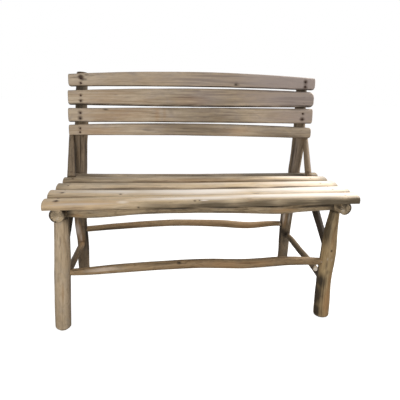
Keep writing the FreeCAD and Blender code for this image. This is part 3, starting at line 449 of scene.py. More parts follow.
def cracks(piece, lines):
    """Open drying cracks, each (list of (x, y, z) points, half width, depth) in millimetres."""
    places, outward = read(piece, "co", "normal")
    nearness = np.zeros(len(places))
    for points, width, depth in lines:
        # Each point moves to the nearest wood
        points = [places[np.argmin(np.linalg.norm(places - np.array(point) * MM, axis=1))] for point in points]
        best, place = np.full(len(places), np.inf), np.zeros(len(places))
        for number, (first, last) in enumerate(zip(points[:-1], points[1:])):
            run = last - first
            share = np.clip((places - first) @ run / (run @ run), 0, 1)
            away = np.linalg.norm(places - first - share[:, None] * run, axis=1)
            place = np.where(away < best, (number + share) / (len(points) - 1), place)
            best = np.minimum(best, away)
        near = np.exp(-(best / (width * MM)) ** 2) * np.sqrt(np.clip(np.sin(math.pi * place), 0, 1))
        places -= outward * (depth * MM * near)[:, None]
        nearness = np.maximum(nearness, near)
    keep(piece, "co", places)
    keep(piece, "crack", nearness)


def fit(piece, slot, *nodes):
    """Every piece of the bench rides on its one body, and stands for its node of the frame."""
    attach(piece, "root")
    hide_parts(*nodes)


# Scraped hardwood, dry and matt: a pale tan on the left leg, and yellow-brown on the right one
leg_wood = peeled_wood("peeled_branch_wood_of_legs", "#CBB89C", "#B49E80", "#725C40", "#A0968A", "#33271A",
                       roughness=0.6, mottled=0.3)
brown_leg_wood = peeled_wood("brown_branch_wood_of_right_leg", "#BAA27A", "#A38A62", "#5E4A2E", "#8C7C64",
                             "#2A2014", roughness=0.6, mottled=0.35)
# Each leg's line from the floor up: x, y, z and radius in millimetres
LEG_STATIONS = {
    "left": [(-479, -202, 0, 25.5), (-478, -202, 40, 26), (-472.9, -202, 142, 26), (-465.9, -202, 254, 26),
             (-461.8, -202, 337, 24.2), (-459.6, -202, 412, 22.6)],
    "right": [(443.9, -202, 0, 27.6), (442.4, -202, 40, 28), (438.2, -202, 161, 26), (442.2, -202, 253, 26.8),
              (441, -202, 320, 24.3), (443.5, -202, 365, 20.5), (447.5, -202, 416, 16)],
}
# Partly painted shade: the stained and blackened patches down the right leg's left side, and on the left leg's
# right edge beside its knee brace, paint shade. The rest are stains, warm patches and wear
LEG_MARKS = {
    "left": {
        "stained_and_shaded": [(-484, -226, 268, 20, 8, 0.5), (-476, -228, 30, 16, 30, 0.3)],
        "warm": [(-468, -228, 150, 50, 14, 0.4)],
        "blackened_and_shaded": [(-441, -212, 400, 30, 12, 0.8), (-438, -206, 370, 40, 9, 0.7)],
    },
    "right": {
        "stained_and_shaded": [
            (428, -216, 392, 40, 20, 0.85), (424, -212, 340, 60, 22, 1.0), (424, -222, 128, 60, 16, 0.6),
            (436, -227, 190, 14, 10, 0.6), (430, -226, 215, 24, 6, 0.6), (452, -226, 300, 30, 5, 0.5),
            (446, -226, 350, 30, 4, 0.6)],
        "warm": [(448, -229, 75, 70, 16, 1.0), (452, -226, 150, 50, 12, 0.8), (446, -226, 300, 130, 22, 0.5)],
        "bleached_and_highlit": [(439, -228, 250, 12, 6, 0.33), (444, -227, 235, 12, 5, 0.36), (432, -226, 238, 9, 4, 0.33),
                     (464, -218, 110, 60, 9, 0.6)],
        "blackened_and_shaded": [
            (416, -208, 90, 60, 26, 1.0), (418, -212, 30, 40, 22, 0.95), (413, -196, 150, 110, 13, 1.0),
            (420, -214, 152, 34, 28, 0.95), (428, -222, 3, 5, 60, 0.9), (416, -194, 260, 120, 8, 0.85),
            (415, -190, 195, 40, 11, 0.9), (420, -194, 350, 70, 9, 0.8), (436, -216, 412, 7, 50, 0.6)],
    },
}
for side, wood, seed, dome, leg_knots in (
        ("left", leg_wood, 2, 9, []), ("right", brown_leg_wood, 5, 5, [(441, -228, 272, 4)])):
    leg = pole(f"peeled_leg_{side}", LEG_STATIONS[side], wood, seed, sides=112, worn=6, dome=dome, lump=2.4,
               upright_start=True)
    knots(leg, leg_knots)
    mark(leg, LEG_MARKS[side])
    fit(leg, "log_wood", f"front_leg_{side}")


# Rear posts
# One crooked branch a side, from the floor past the seat to the top of the back: it splays
# back below the seat and leans back above it. The left one has long drying cracks.

# Peeled hardwood that has stood in the wet: dark grey-brown, mottled, and the least smooth
post_wood = peeled_wood("peeled_branch_wood_of_posts", "#8F7E68", "#74624B", "#3E3122", "#6F665B", "#211810",
                        roughness=0.62, mottled=0.5)
POST_STATIONS = {
    "left": [
        (-467.2, 244.8, 0, 22.5), (-466.2, 235, 40, 23.4), (-464.3, 225.8, 75, 23.9), (-460, 209.3, 137, 23),
        (-460.3, 179.2, 249, 24.4), (-453.8, 153.7, 345, 23.5), (-447, 134, 415, 23), (-443.5, 132.5, 452, 22.6),
        (-441.5, 136.3, 478.5, 23), (-438.6, 148.8, 591.6, 25), (-433, 155.5, 652, 25), (-431.6, 162.2, 713, 21.4),
        (-427.2, 169.8, 781.5, 21.2), (-422.6, 176.2, 841, 20.2)],
    "right": [
        (443.4, 244.8, 0, 22), (440.3, 235, 40, 22.3), (437.4, 225.8, 75.5, 22.5), (429, 205.9, 150, 23.6),
        (420, 178.7, 252.7, 25.6), (417.2, 153.7, 346.6, 25), (419.7, 134, 417, 23.2), (418.8, 132.5, 452, 23.5),
        (418.5, 135.9, 476, 23.6), (423, 140.6, 517.6, 23.9), (430.5, 149.7, 599, 25.8), (430.4, 155.9, 655, 22.8),
        (430, 163.5, 722.5, 21.8), (430.5, 171.1, 790, 21.1), (431, 176, 834, 20.2)],
}
# Partly painted shade: the stained and blackened patches at about 750 mm fill the slits between the back slats with
# shade, the thin dark line down the left post beside its strut is a painted contact shadow, and the long dark
# strips down the posts' sides turned from the lamps paint shade. The rest are stains, warm and pale patches
POST_MARKS = {
    "left": {
        "stained_and_shaded": [(-430, 145, 750, 120, 60, 0.9), (-448, 160, 400, 80, 20, 0.8)],
        "blackened_and_shaded": [
            (-421, 132, 540, 120, 9, 0.9), (-426, 122, 490, 40, 12, 0.5), (-436, 175, 210, 110, 10, 0.95),
            (-440, 201, 130, 80, 7, 0.9), (-430, 145, 750, 110, 60, 0.6), (-463, 128, 560, 110, 5, 0.9),
            (-440, 150, 360, 60, 10, 0.8)],
        "warm": [(-472, 163, 222, 50, 18, 1.0), (-466, 172, 180, 50, 16, 0.9), (-472, 192, 128, 40, 12, 0.6)],
        "bleached_and_highlit": [(-472, 164, 218, 44, 16, 0.5), (-464, 172, 180, 40, 12, 0.4)],
    },
    "right": {
        "silvered": [(412, 119, 540, 120, 20, 0.45)],
        "warm": [(400, 135, 350, 70, 20, 0.6), (404, 157, 255, 60, 16, 0.7)],
        "bleached_and_highlit": [(396, 140, 330, 80, 20, 0.54), (426, 136, 330, 70, 16, 0.5), (400, 160, 265, 50, 14, 0.55),
                     (422, 153, 258, 50, 10, 0.45)],
        "stained_and_shaded": [(432, 118, 520, 60, 6, 0.6), (416, 172, 140, 40, 12, 0.6), (430, 145, 750, 120, 60, 0.8),
                    (416, 118, 560, 120, 24, 0.56)],
        "blackened_and_shaded": [(402, 128, 540, 130, 6, 0.8), (398, 182, 190, 110, 7, 0.95), (422, 174, 174, 24, 20, 1.0),
                      (408, 174, 184, 22, 14, 0.9), (430, 145, 800, 30, 60, 0.5)],
    },
}
# Each crack's points, half width and depth
POST_CRACKS = {
    "left": [
        ([(-434, 130, 690), (-436.1, 125.2, 596), (-436.6, 122.2, 558), (-438.1, 118.5, 520),
          (-440.5, 114.6, 480)], 1.5, 5),
        ([(-450, 128, 610), (-452, 124, 560), (-455, 121, 515)], 1.1, 3),
        ([(-424, 134, 640), (-425, 128, 570)], 1, 2.5)],
    "right": [([(416, 124, 600), (413, 120, 545), (410, 117, 500)], 1.1, 3)],
}
for side, seed in (("left", 9), ("right", 13)):
    post = pole(f"crooked_post_{side}", POST_STATIONS[side], post_wood, seed, sides=120, lump=2.4,
                upright_start=True)
    cracks(post, POST_CRACKS[side])
    mark(post, POST_MARKS[side])
    fit(post, "log_wood", f"rear_post_{side}")


# Side rails
# A short round branch a side, whose sawn front end shows under the front slat with its pith
# and splits. The seat slats are let into its top, and its rear end is a tenon in the post.

# Peeled hardwood out of the rain: tan, strongly mottled, with dark bark left here and there
rail_wood = peeled_wood("peeled_branch_wood_of_rails", "#BBA788", "#9C8768", "#5A4833", "#8A8172", "#2A2016",
                        roughness=0.6, mottled=0.6)
RAIL_STATIONS = {
    "left": [(-463.5, -256.5, 425, 23), (-455.8, -139.2, 428.3, 22.5), (-452.6, -4.1, 429.1, 22.1),
             (-446, 118, 429.9, 21.8)],
    "right": [(458, -256.5, 432.6, 21.8), (442.8, -139.2, 433.4, 20), (434.2, -4.1, 432.7, 19.6),
              (421, 118, 432.1, 19.6)],
}
RAIL_MARKS = {
    "left": {
        "blackened_and_shaded": [
            (-467, -257.5, 439, 4, 2.5, 1.0), (-466, -257.5, 433, 4, 2, 0.9), (-445, -245, 432, 30, 14, 0.9)],
        "bleached_and_highlit": [(-462, -257, 419, 4, 10, 0.3)],
        "stained_and_shaded": [(-466, -257, 433, 4, 15, 0.6)],
    },
    "right": {
        "blackened_and_shaded": [(464, -257.5, 441, 4, 2.5, 1.0), (456, -257.5, 436, 4, 2.5, 0.9),
                      (458, -257.5, 428, 4, 2.5, 0.9), (438, -250, 437, 30, 9, 0.8), (452, -257, 451, 5, 13, 1.0)],
        "bleached_and_highlit": [(446, -257, 426, 4, 9, 0.34)],
        "stained_and_shaded": [(452, -257, 440, 4, 12, 0.55), (466, -257, 424, 4, 14, 0.5)],
    },
}
# Where the bark is left round the sawn ends, in degrees round the pith, and how deep it is
RAIL_BARK = {"left": (115, 135, 155, 175, 195, 215, 235, 255), "right": (70, 50, 30, 10, -10, -30, -50, -70)}
BARK_DEPTH = 1.5
for side, seed in (("left", 17), ("right", 21)):
    rail = pole(f"round_rail_{side}", RAIL_STATIONS[side], rail_wood, seed, sides=80, worn=2.5, lump=1.4)
    x, y, z, radius = RAIL_STATIONS[side][0]
    rim = radius - BARK_DEPTH
    for angle in map(math.radians, RAIL_BARK[side]):
        RAIL_MARKS[side]["blackened_and_shaded"].append((x + rim * math.cos(angle), y, z + rim * math.sin(angle), 4, 4.5, 1.1))
    mark(rail, RAIL_MARKS[side])
    fit(rail, "log_wood", f"side_rail_{side}")


# Front and rear rails
# Thinner crooked branches that tie the two sides together under the seat. The front one shows
# below the front slat, and the rear one is tenoned between the posts.

CROSS_RAILS = {
    "front_rail": [
        (-452, -205.5, 424, 17.2), (-378.6, -205.5, 422.1, 21.1), (-205.5, -203.6, 427.9, 18.5),
        (-23.3, -205.5, 429.3, 17.9), (131.5, -207.4, 427.6, 19.5), (250, -205.5, 425, 21.5),
        (332, -205.5, 429.1, 19.5), (442, -205.5, 431, 16.8)],
    "rear_rail": [
        (-440, 140.2, 396, 15.4), (-229.6, 143.8, 397.8, 18), (74.5, 138.6, 394.2, 18.5), (415, 140.6, 396, 15.8)],
}
# The dark band along the front rail's top, at 434 to 436 mm, is a painted shadow of the front slat's overhang
CROSS_RAIL_MARKS = {
    "front_rail": {
        "blackened_and_shaded": [(x, -224, 434, 110, 5, 0.9) for x in range(-100, 400, 150)] + [
            (-400, -224, 436, 110, 4, 0.5), (-250, -224, 436, 110, 4, 0.6), (400, -222, 436, 60, 7, 0.9),
            (-436, -220, 426, 22, 30, 0.8), (428, -220, 430, 26, 30, 0.8)],
        "stained_and_shaded": [(-180, -222, 416, 60, 5, 0.7), (60, -223, 417, 120, 4, 0.6), (-20, -222, 424, 220, 20, 0.4)],
        "warm": [(-410, -222, 414, 30, 10, 0.6), (255, -226, 420, 60, 12, 0.6)],
    },
    "rear_rail": {},
}
for seed, (name, stations) in enumerate(CROSS_RAILS.items(), start=30):
    rail = pole(f"{name}_pole", stations, rail_wood, seed=seed * 1.7, sides=64, worn=2, lump=1.8)
    mark(rail, CROSS_RAIL_MARKS[name])
    fit(rail, "log_wood", name)


# Stretchers
# Thin crooked branches, 20 to 30 mm thick, between the legs near the floor. Each end is
# trimmed to a round tenon and driven into a bored hole.

# Thin peeled branches, rubbed by feet: warm brown, and a little smoother than the posts
stretcher_wood = peeled_wood("peeled_branch_wood_of_stretchers", "#AC9371", "#8F7452", "#55402A", "#80725E",
                             "#2B2116", roughness=0.58, mottled=0.5)
STRETCHERS = {
    "front_stretcher": [
        (-460, -202, 212, 9.8), (-424, -202, 212.3, 11.8), (-277.3, -200.6, 219.2, 14.8),
        (-148.9, -202, 225.2, 15), (-11.4, -202, 227.4, 15.8), (144.5, -204.8, 222.6, 16.6),
        (291.2, -202, 226.2, 15.8), (440, -202, 219, 12)],
    "rear_stretcher": [
        (-450, 188.7, 213.4, 11.6), (-269.8, 191.1, 225, 13.2), (-74.5, 192.1, 232.8, 14),
        (40.9, 188.1, 231.2, 14.2), (120.8, 188, 227.2, 15.4), (253.9, 187.8, 216.4, 14.4),
        (369.3, 187.7, 221.6, 11.6), (425, 187.6, 219.2, 9.8)],
    "side_stretcher_left": [
        (-471.4, -193, 167.6, 9), (-468, -79.7, 162.9, 11), (-463.1, 83.3, 157.3, 12), (-459.6, 198, 151.3, 11.8)],
    "side_stretcher_right": [
        (434, -196, 140, 10), (436.5, -150, 149, 11), (437, -68.9, 157, 12.2), (434.5, 19.9, 160.5, 12.4),
        (432, 132.9, 168.5, 12), (431, 194, 167, 11)],
}
STRETCHER_KNOTS = {"front_stretcher": [(-89.7, -212.3, 236, 6)]}
STRETCHER_MARKS = {
    "front_stretcher": {
        "warm": [(-340, -214, 221, 60, 14, 0.5), (60, -215, 228, 120, 14, 0.5), (200, -214, 226, 60, 12, 0.5)],
        "stained_and_shaded": [(-150, -212, 236, 90, 6, 0.6), (300, -214, 215, 120, 8, 0.6)],
        "bleached_and_highlit": [(425, -212, 222, 12, 12, 0.4), (-340, -214, 224, 90, 9, 0.45)],
    },
    "rear_stretcher": {
        "warm": [(0, 178, 234, 160, 16, 0.5), (260, 176, 218, 130, 16, 0.5)],
        "stained_and_shaded": [(-330, 178, 215, 110, 10, 0.7)],
        "bleached_and_highlit": [(398, 178, 222, 14, 12, 0.4)],
    },
    "side_stretcher_left": {
        "stained_and_shaded": [(-465, 0, 172, 180, 40, 0.7)],
        "warm": [(-455, 0, 168, 60, 8, 0.6), (-455, 160, 164, 60, 14, 0.6)],
        "blackened_and_shaded": [(-452, 0, 152, 250, 8, 0.8), (-456, 190, 162, 14, 40, 0.5)],
    },
    "side_stretcher_right": {
        "stained_and_shaded": [(428, 60, 166, 200, 40, 0.95)],
        "blackened_and_shaded": [(428, -150, 156, 50, 60, 1.0), (424, 60, 152, 200, 9, 0.9), (431, 176, 178, 26, 60, 1.0)],
    },
}
for seed, (name, stations) in enumerate(STRETCHERS.items(), start=40):
    stretcher = pole(f"{name}_pole", stations, stretcher_wood, seed=seed * 1.3, sides=48, worn=1.5, lump_width=18)
    knots(stretcher, STRETCHER_KNOTS.get(name, []))
    mark(stretcher, STRETCHER_MARKS[name])
    fit(stretcher, "log_wood", name)

# A small side branch, sawn off close to the right side stretcher, with a pale face
stub = pole("sawn_off_branch", [(436, -126, 154, 10.5), (431, -140, 160, 10), (426.5, -153, 166, 9.4)], leg_wood,
            seed=70, sides=40, worn=1, lump=0.8, lump_width=10)
mark(stub, {"blackened_and_shaded": [(436, -130, 165, 18, 40, 1.0)], "bleached_and_highlit": [(426.5, -154, 166, 3, 9, 1.0)]})
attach(stub, "root")


# Knee braces and back struts
# Braces run from the front legs up to the side rails, and struts from the seat up to the
# outside of the posts. Their ends are scribed to what they meet, and a nail holds each.

BRACES = {
    "knee_brace_left": [
        (-468, -193, 239.5, 10.4), (-461.5, -125.8, 309.5, 11.4), (-456.9, -68.5, 369.3, 12.6),
        (-452.4, -21, 420.7, 12.1)],
    "knee_brace_right": [
        (445.5, -193, 245, 11.4), (440.7, -125.8, 314.5, 12.8), (435.8, -68.5, 373.6, 14), (432.6, -21, 424.4, 13)],
    "back_strut_left": [
        (-463, 38.5, 472, 15), (-464.2, 60, 501, 14), (-465.6, 81.8, 531.2, 12.8), (-468, 124.9, 592.5, 10.4),
        (-468, 161.7, 645, 9.6)],
    "back_strut_right": [
        (442, 38.5, 472.5, 12.8), (446.5, 81.9, 531.6, 12.2), (452.2, 125, 592.6, 10.2), (456, 161.8, 645, 8)],
}
# Painted shade: the knee braces are darkened all over for the shade under the seat, and the dark strip down each
# strut's side against its post is a painted contact shadow, partly stain
BRACE_SHADE_AND_STAINS = {
    "knee_brace_left": [(-450, -125, 310, 300, 60, 0.75)],
    "knee_brace_right": [(428, -125, 314, 300, 60, 1.05)],
    "back_strut_left": [(-455, 70, 515, 130, 7, 1.0)],
    "back_strut_right": [(437, 95, 540, 120, 5, 0.6), (440, 50, 480, 10, 40, 0.5)],
}
for seed, (name, stations) in enumerate(BRACES.items(), start=50):
    brace = pole(f"{name}_pole", stations, post_wood, seed=seed * 1.9, sides=48, worn=2, lump=1.4, lump_width=18)
    patch(brace, "blackened_and_shaded", BRACE_SHADE_AND_STAINS[name])
    fit(brace, "log_wood", name)


# Seat slats
# Half-round slats from split branches, flat side down on the rails, scraped smooth and paler
# than the legs. Their edges wander a little, and their ends are sawn square.

def split_section(name, shoulder, fullness):
    """The outline of a split branch, from -1 to 1 across: flat underneath, square-shouldered, crowned on top."""
    crown_steps, corner_steps, flat_steps = 40, 6, 16
    corner, corner_rise = 0.06, 0.6
    outline = []
    for step in range(crown_steps + 1):
        turn = math.pi * step / crown_steps
        side, rise = math.cos(turn), abs(math.sin(turn))
        outline.append((math.copysign(abs(side) ** (2 / fullness), side),
                        shoulder + (1 - shoulder) * rise ** (2 / fullness)))
    for centre, start in ((-1 + corner, 1.0), (1 - corner, 1.5)):
        for step in range(corner_steps + 1):
            turn = math.pi * (start + step / (2 * corner_steps))
            outline.append((centre + corner * math.cos(turn), corner_rise * shoulder * (1 + math.sin(turn))))
        if start == 1.0:
            outline += [(centre + (2 - 2 * corner) * step / flat_steps, 0) for step in range(1, flat_steps)]
    curve = bpy.data.curves.new(name, "CURVE")
    curve.dimensions = "3D"
    rim = curve.splines.new("POLY")
    rim.points.add(len(outline) - 1)
    rim.points.foreach_set("co", [value for a, b in outline for value in (a, b, 0, 1)])
    rim.use_cyclic_u = True
    shape = bpy.data.objects.new(name, curve)
    scene.collection.objects.link(shape)
    return shape


# The tree that makes a slat along a line from 0 to 1. Each edge, the underside and the crown
# is given as its places at the left end, the middle and the right end.
tree, asked, slat_inputs = open_tree("split_branch_slat", (
    ("Geometry", "Geometry"), ("Section", "Object"), ("Ends", "Vector"), ("Low edge", "Vector"),
    ("High edge", "Vector"), ("Underside", "Vector"), ("Crown", "Vector"), ("Low corners", "Vector"),
    ("High corners", "Vector"), ("Edge wander", "Float"), ("Dark edge", "Float"), ("Turn", "Rotation"),
    ("Hang", "Vector"), ("Worn edge", "Float"), ("Lump height", "Float"), ("Lump width", "Float"),
    ("Lump length", "Float"), ("Seed", "Float"), ("Material", "Material")))
line = add(tree, "GeometryNodeMeshToCurve", {"Mesh": asked["Geometry"]})
spot = add(tree, "GeometryNodeInputPosition")
path = add(tree, "GeometryNodeCaptureAttribute", {"Geometry": line}, out=None)
path.capture_items.new("VECTOR", "spot")
tree.links.new(spot, path.inputs["spot"])
shape = add(tree, "GeometryNodeObjectInfo", {"Object": asked["Section"]}, out="Geometry")
rim = add(tree, "GeometryNodeCaptureAttribute", {"Geometry": shape}, out=None)
rim.capture_items.new("VECTOR", "rim")
tree.links.new(spot, rim.inputs["rim"])
swept = add(tree, "GeometryNodeCurveToMesh", {
    "Curve": path.outputs["Geometry"], "Profile Curve": rim.outputs["Geometry"], "Fill Caps": True})
share = add(tree, "ShaderNodeSeparateXYZ", (path.outputs["spot"],))
left_end, _, right_end = add(tree, "ShaderNodeSeparateXYZ", (asked["Ends"],), out=None).outputs
x = add(tree, "ShaderNodeMapRange", {"Value": share, 3: left_end, 4: right_end}, clamp=False)
# The three weights of a smooth curve through the places at the left, middle and right
rest = add(tree, "ShaderNodeMath", (1.0, share), operation="SUBTRACT")
swing = add(tree, "ShaderNodeMath", (rest, share), operation="SUBTRACT")
left_weight = add(tree, "ShaderNodeMath", (rest, swing), operation="MULTIPLY")
hump = add(tree, "ShaderNodeMath", (rest, share), operation="MULTIPLY")
middle_weight = add(tree, "ShaderNodeMath", (hump, 4.0), operation="MULTIPLY")
right_weight = add(tree, "ShaderNodeMath", (share, swing), operation="MULTIPLY")
right_weight = add(tree, "ShaderNodeMath", (right_weight, -1.0), operation="MULTIPLY")
weights = add(tree, "ShaderNodeCombineXYZ", (left_weight, middle_weight, right_weight))
at = {label: add(tree, "ShaderNodeVectorMath", (asked[label], weights), out="Value", operation="DOT_PRODUCT")
      for label in ("Low edge", "High edge", "Underside", "Crown")}
to_left = add(tree, "ShaderNodeMath", (x, left_end), operation="SUBTRACT")
to_right = add(tree, "ShaderNodeMath", (right_end, x), operation="SUBTRACT")
to_end = add(tree, "ShaderNodeMath", (to_left, to_right), operation="MINIMUM")
# The edges wander, each in its own way, and turn in at rounded corners
bends_per_metre = 7
for label, corners, shift, sign in (
        ("Low edge", "Low corners", 0.0, 1.0), ("High edge", "High corners", 37.0, -1.0)):
    bend = add(tree, "ShaderNodeMath", (asked["Seed"], shift), operation="ADD")
    bend = add(tree, "ShaderNodeCombineXYZ", (x, bend))
    wander = add(tree, "ShaderNodeTexNoise", {"Vector": bend, "Scale": bends_per_metre, "Detail": 2.5}, out="Fac")
    wander = add(tree, "ShaderNodeMath", (wander, 0.5), operation="SUBTRACT")
    edge = add(tree, "ShaderNodeMath", (wander, asked["Edge wander"], at[label]), operation="MULTIPLY_ADD")
    left_corner, _, right_corner = add(tree, "ShaderNodeSeparateXYZ", (asked[corners],), out=None).outputs
    for distance, radius in ((to_left, left_corner), (to_right, right_corner)):
        turn_in, _ = worn_inset(tree, distance, radius)
        edge = add(tree, "ShaderNodeMath", (turn_in, sign, edge), operation="MULTIPLY_ADD")
    at[label] = edge
inset, near_end = worn_inset(tree, to_end, asked["Worn edge"])
rim_x, rim_y, _ = add(tree, "ShaderNodeSeparateXYZ", (rim.outputs["rim"],), out=None).outputs
rim_y = add(tree, "ShaderNodeMath", (rim_y, 2.0, -1.0), operation="MULTIPLY_ADD")
body = []
for low, high, turned in ((at["Low edge"], at["High edge"], rim_x), (at["Underside"], at["Crown"], rim_y)):
    size = add(tree, "ShaderNodeMath", (high, low), operation="SUBTRACT")
    half = add(tree, "ShaderNodeMath", (size, 0.5), operation="MULTIPLY")
    centre = add(tree, "ShaderNodeMath", (low, half), operation="ADD")
    half = add(tree, "ShaderNodeMath", (half, inset), operation="SUBTRACT")
    set_off = add(tree, "ShaderNodeMath", (turned, half, centre), operation="MULTIPLY_ADD")
    body.append((centre, set_off))
(centre, y), (_, z) = body
formed = add(tree, "ShaderNodeCombineXYZ", (x, y, z))
grain_across = add(tree, "ShaderNodeMath", (y, centre), operation="SUBTRACT")
grain_up = add(tree, "ShaderNodeMath", (z, at["Underside"]), operation="SUBTRACT")
grain_along = add(tree, "ShaderNodeMath", (x, asked["Seed"]), operation="ADD")
grain = add(tree, "ShaderNodeCombineXYZ", (grain_across, grain_up, grain_along))
side = add(tree, "ShaderNodeMath", (rim_x,), operation="ABSOLUTE")
bark = add(tree, "ShaderNodeMapRange", (side, asked["Dark edge"], 1.1))
hold = add(tree, "GeometryNodeCaptureAttribute", {"Geometry": swept}, out=None)
for label, kind, field in (("place", "VECTOR", formed), ("grain", "VECTOR", grain), ("end", "FLOAT", near_end),
                           ("bark", "FLOAT", bark)):
    hold.capture_items.new(kind, label)
    tree.links.new(field, hold.inputs[label])
hold = hold.outputs
set_out = add(tree, "GeometryNodeSetPosition", {"Geometry": hold["Geometry"], "Position": hold["place"]})
hung = add(tree, "GeometryNodeTransform", {
    "Geometry": set_out, "Translation": asked["Hang"], "Rotation": asked["Turn"]})
slat_tree = lumpy_end(tree, asked, hung, (
    ("grain", "FLOAT_VECTOR", hold["grain"]), ("end", "FLOAT", hold["end"]), ("bark", "FLOAT", hold["bark"])))

# A straight line from 0 to 1, with its points where a slat about 1 m long needs them
slat_line = bpy.data.meshes.new("slat_line")
shares = spaced(1000) / 1000
slat_line.from_pydata([(share, 0, 0) for share in shares], [(n, n + 1) for n in range(len(shares) - 1)], [])


def slat(name, section, ends, low, high, under, crown, material, seed, low_corners=(4, 0, 4),
         high_corners=(4, 0, 4), turn=0, hang=(0, 0, 0), lump=1.4, wander=4, dark_edge=0.84):
    """A slat; sizes in millimetres, and each of its lines at the left end, the middle and the right end."""
    left, right = ends
    lines = {"Ends": (left, 0, right), "Low edge": low, "High edge": high, "Underside": under, "Crown": crown,
             "Low corners": low_corners, "High corners": high_corners, "Hang": hang}
    return grown(slat_tree, slat_inputs, slat_line.copy(), name, {
        **{label: [value * MM for value in values] for label, values in lines.items()},
        "Section": section, "Turn": (turn, 0, 0), "Edge wander": wander * MM, "Dark edge": dark_edge,
        "Worn edge": 2.5 * MM, "Lump height": lump * MM, "Lump width": 30 * MM, "Lump length": 110 * MM,
        "Seed": float(seed), "Material": material})


def driven_nails(node):
    """Where the nails of a frame node have their heads, and which way the heads face, in metres."""
    form = bmesh.new()
    form.from_mesh(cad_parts[node].data)
    bmesh.ops.remove_doubles(form, verts=form.verts, dist=0.01 * MM)
    unseen = set(form.verts)
    nails = []
    while unseen:
        batch = [min(unseen, key=lambda vertex: vertex.index)]
        unseen.discard(batch[0])
        shape = []
        while batch:
            vertex = batch.pop()
            shape.append(tuple(vertex.co))
            for edge in vertex.link_edges:
                other = edge.other_vert(vertex)
                if other in unseen:
                    unseen.discard(other)
                    batch.append(other)
        shape = np.array(shape)
        centre = shape.mean(0)
        axis = np.linalg.svd(shape - centre, full_matrices=False)[2][0]
        along = (shape - centre) @ axis
        off_axis = np.linalg.norm(shape - centre - along[:, None] * axis, axis=1)
        # The widest point is on the head, so the axis is turned to face out of the wood there
        if along[np.argmax(off_axis)] < 0:
            axis, along = -axis, -along
        nails.append((tuple(shape[along > along.max() - 0.1 * MM].mean(0)), tuple(axis)))
    form.free()
    return sorted(nails)


# How far each nail has rusted and stained the wood, in the order of their places from left to right
NAIL_RUST = {
    "seat_nails_left": (0.95, 0.5, 0.75, 0.35, 0.5, 0.4, 0.6, 0.4, 0.7, 0.5),
    "seat_nails_right": (0.5, 0.4, 0.35, 0.4, 0.3, 0.35, 0.3, 0.35, 0.3, 0.4),
    "back_nails_left": (0.55, 0.6, 1.0, 0.85, 0.8, 0.6, 0.8, 1.0),
    "back_nails_right": (0.35, 0.3, 1.0, 0.75, 0.3, 0.3, 0.9, 1.0),
    "knee_brace_nails": (0.6,) * 4,
    "back_strut_nails": (0.6,) * 4,
}
NAILS = {node: driven_nails(node) for node in NAIL_RUST}
# Rust runs 6 to 11 mm into the wood along the grain, and 4.5 to 9.5 mm across it
rust_spots = [(*(value / MM for value in head), 6 + 5 * rusted, 4.5 + 5 * rusted, rusted)
              for node, nails in NAILS.items() for (head, _), rusted in zip(nails, NAIL_RUST[node])]

# Scraped hardwood, polished by use: the palest wood, with an even tone and a soft sheen
seat_wood = peeled_wood("scraped_branch_wood_of_seat", "#E6D3B4", "#D0B891", "#886B4A", "#B3A48F", "#3D2D1D",
                        roughness=0.48, mottled=0.15)
seat_section = split_section("seat_section", shoulder=0.3, fullness=2.5)
# Each slat's ends, front edge, rear edge, underside and crown; the edges run straight
SEAT_SLATS = {
    1: ((-504, 499.5), -266.5, -196.5, (444.9, 449.3, 452.7), (469.3, 475, 479.5)),
    2: ((-502.5, 504), -190.5, -110.5, (449.3, 450.7, 452.3), (473.5, 470, 479)),
    3: ((-493, 500), -104.5, -28.5, (449.9, 450.7, 451.9), (474.5, 472.5, 477.5)),
    4: ((-485, 497), -22.5, 41.5, (450.3, 450.7, 451.5), (478, 478.5, 476.5)),
    5: ((-481, 488), 47.5, 101.5, (450.7, 450.7, 450.9), (476.5, 474, 478)),
}
SEAT_KNOTS = {
    1: [(-46, -260, 467.5, 4), (-33, -258.5, 469, 2.6), (-221, -265, 452, 3)],
    2: [(-277, -177, 471, 4)],
}
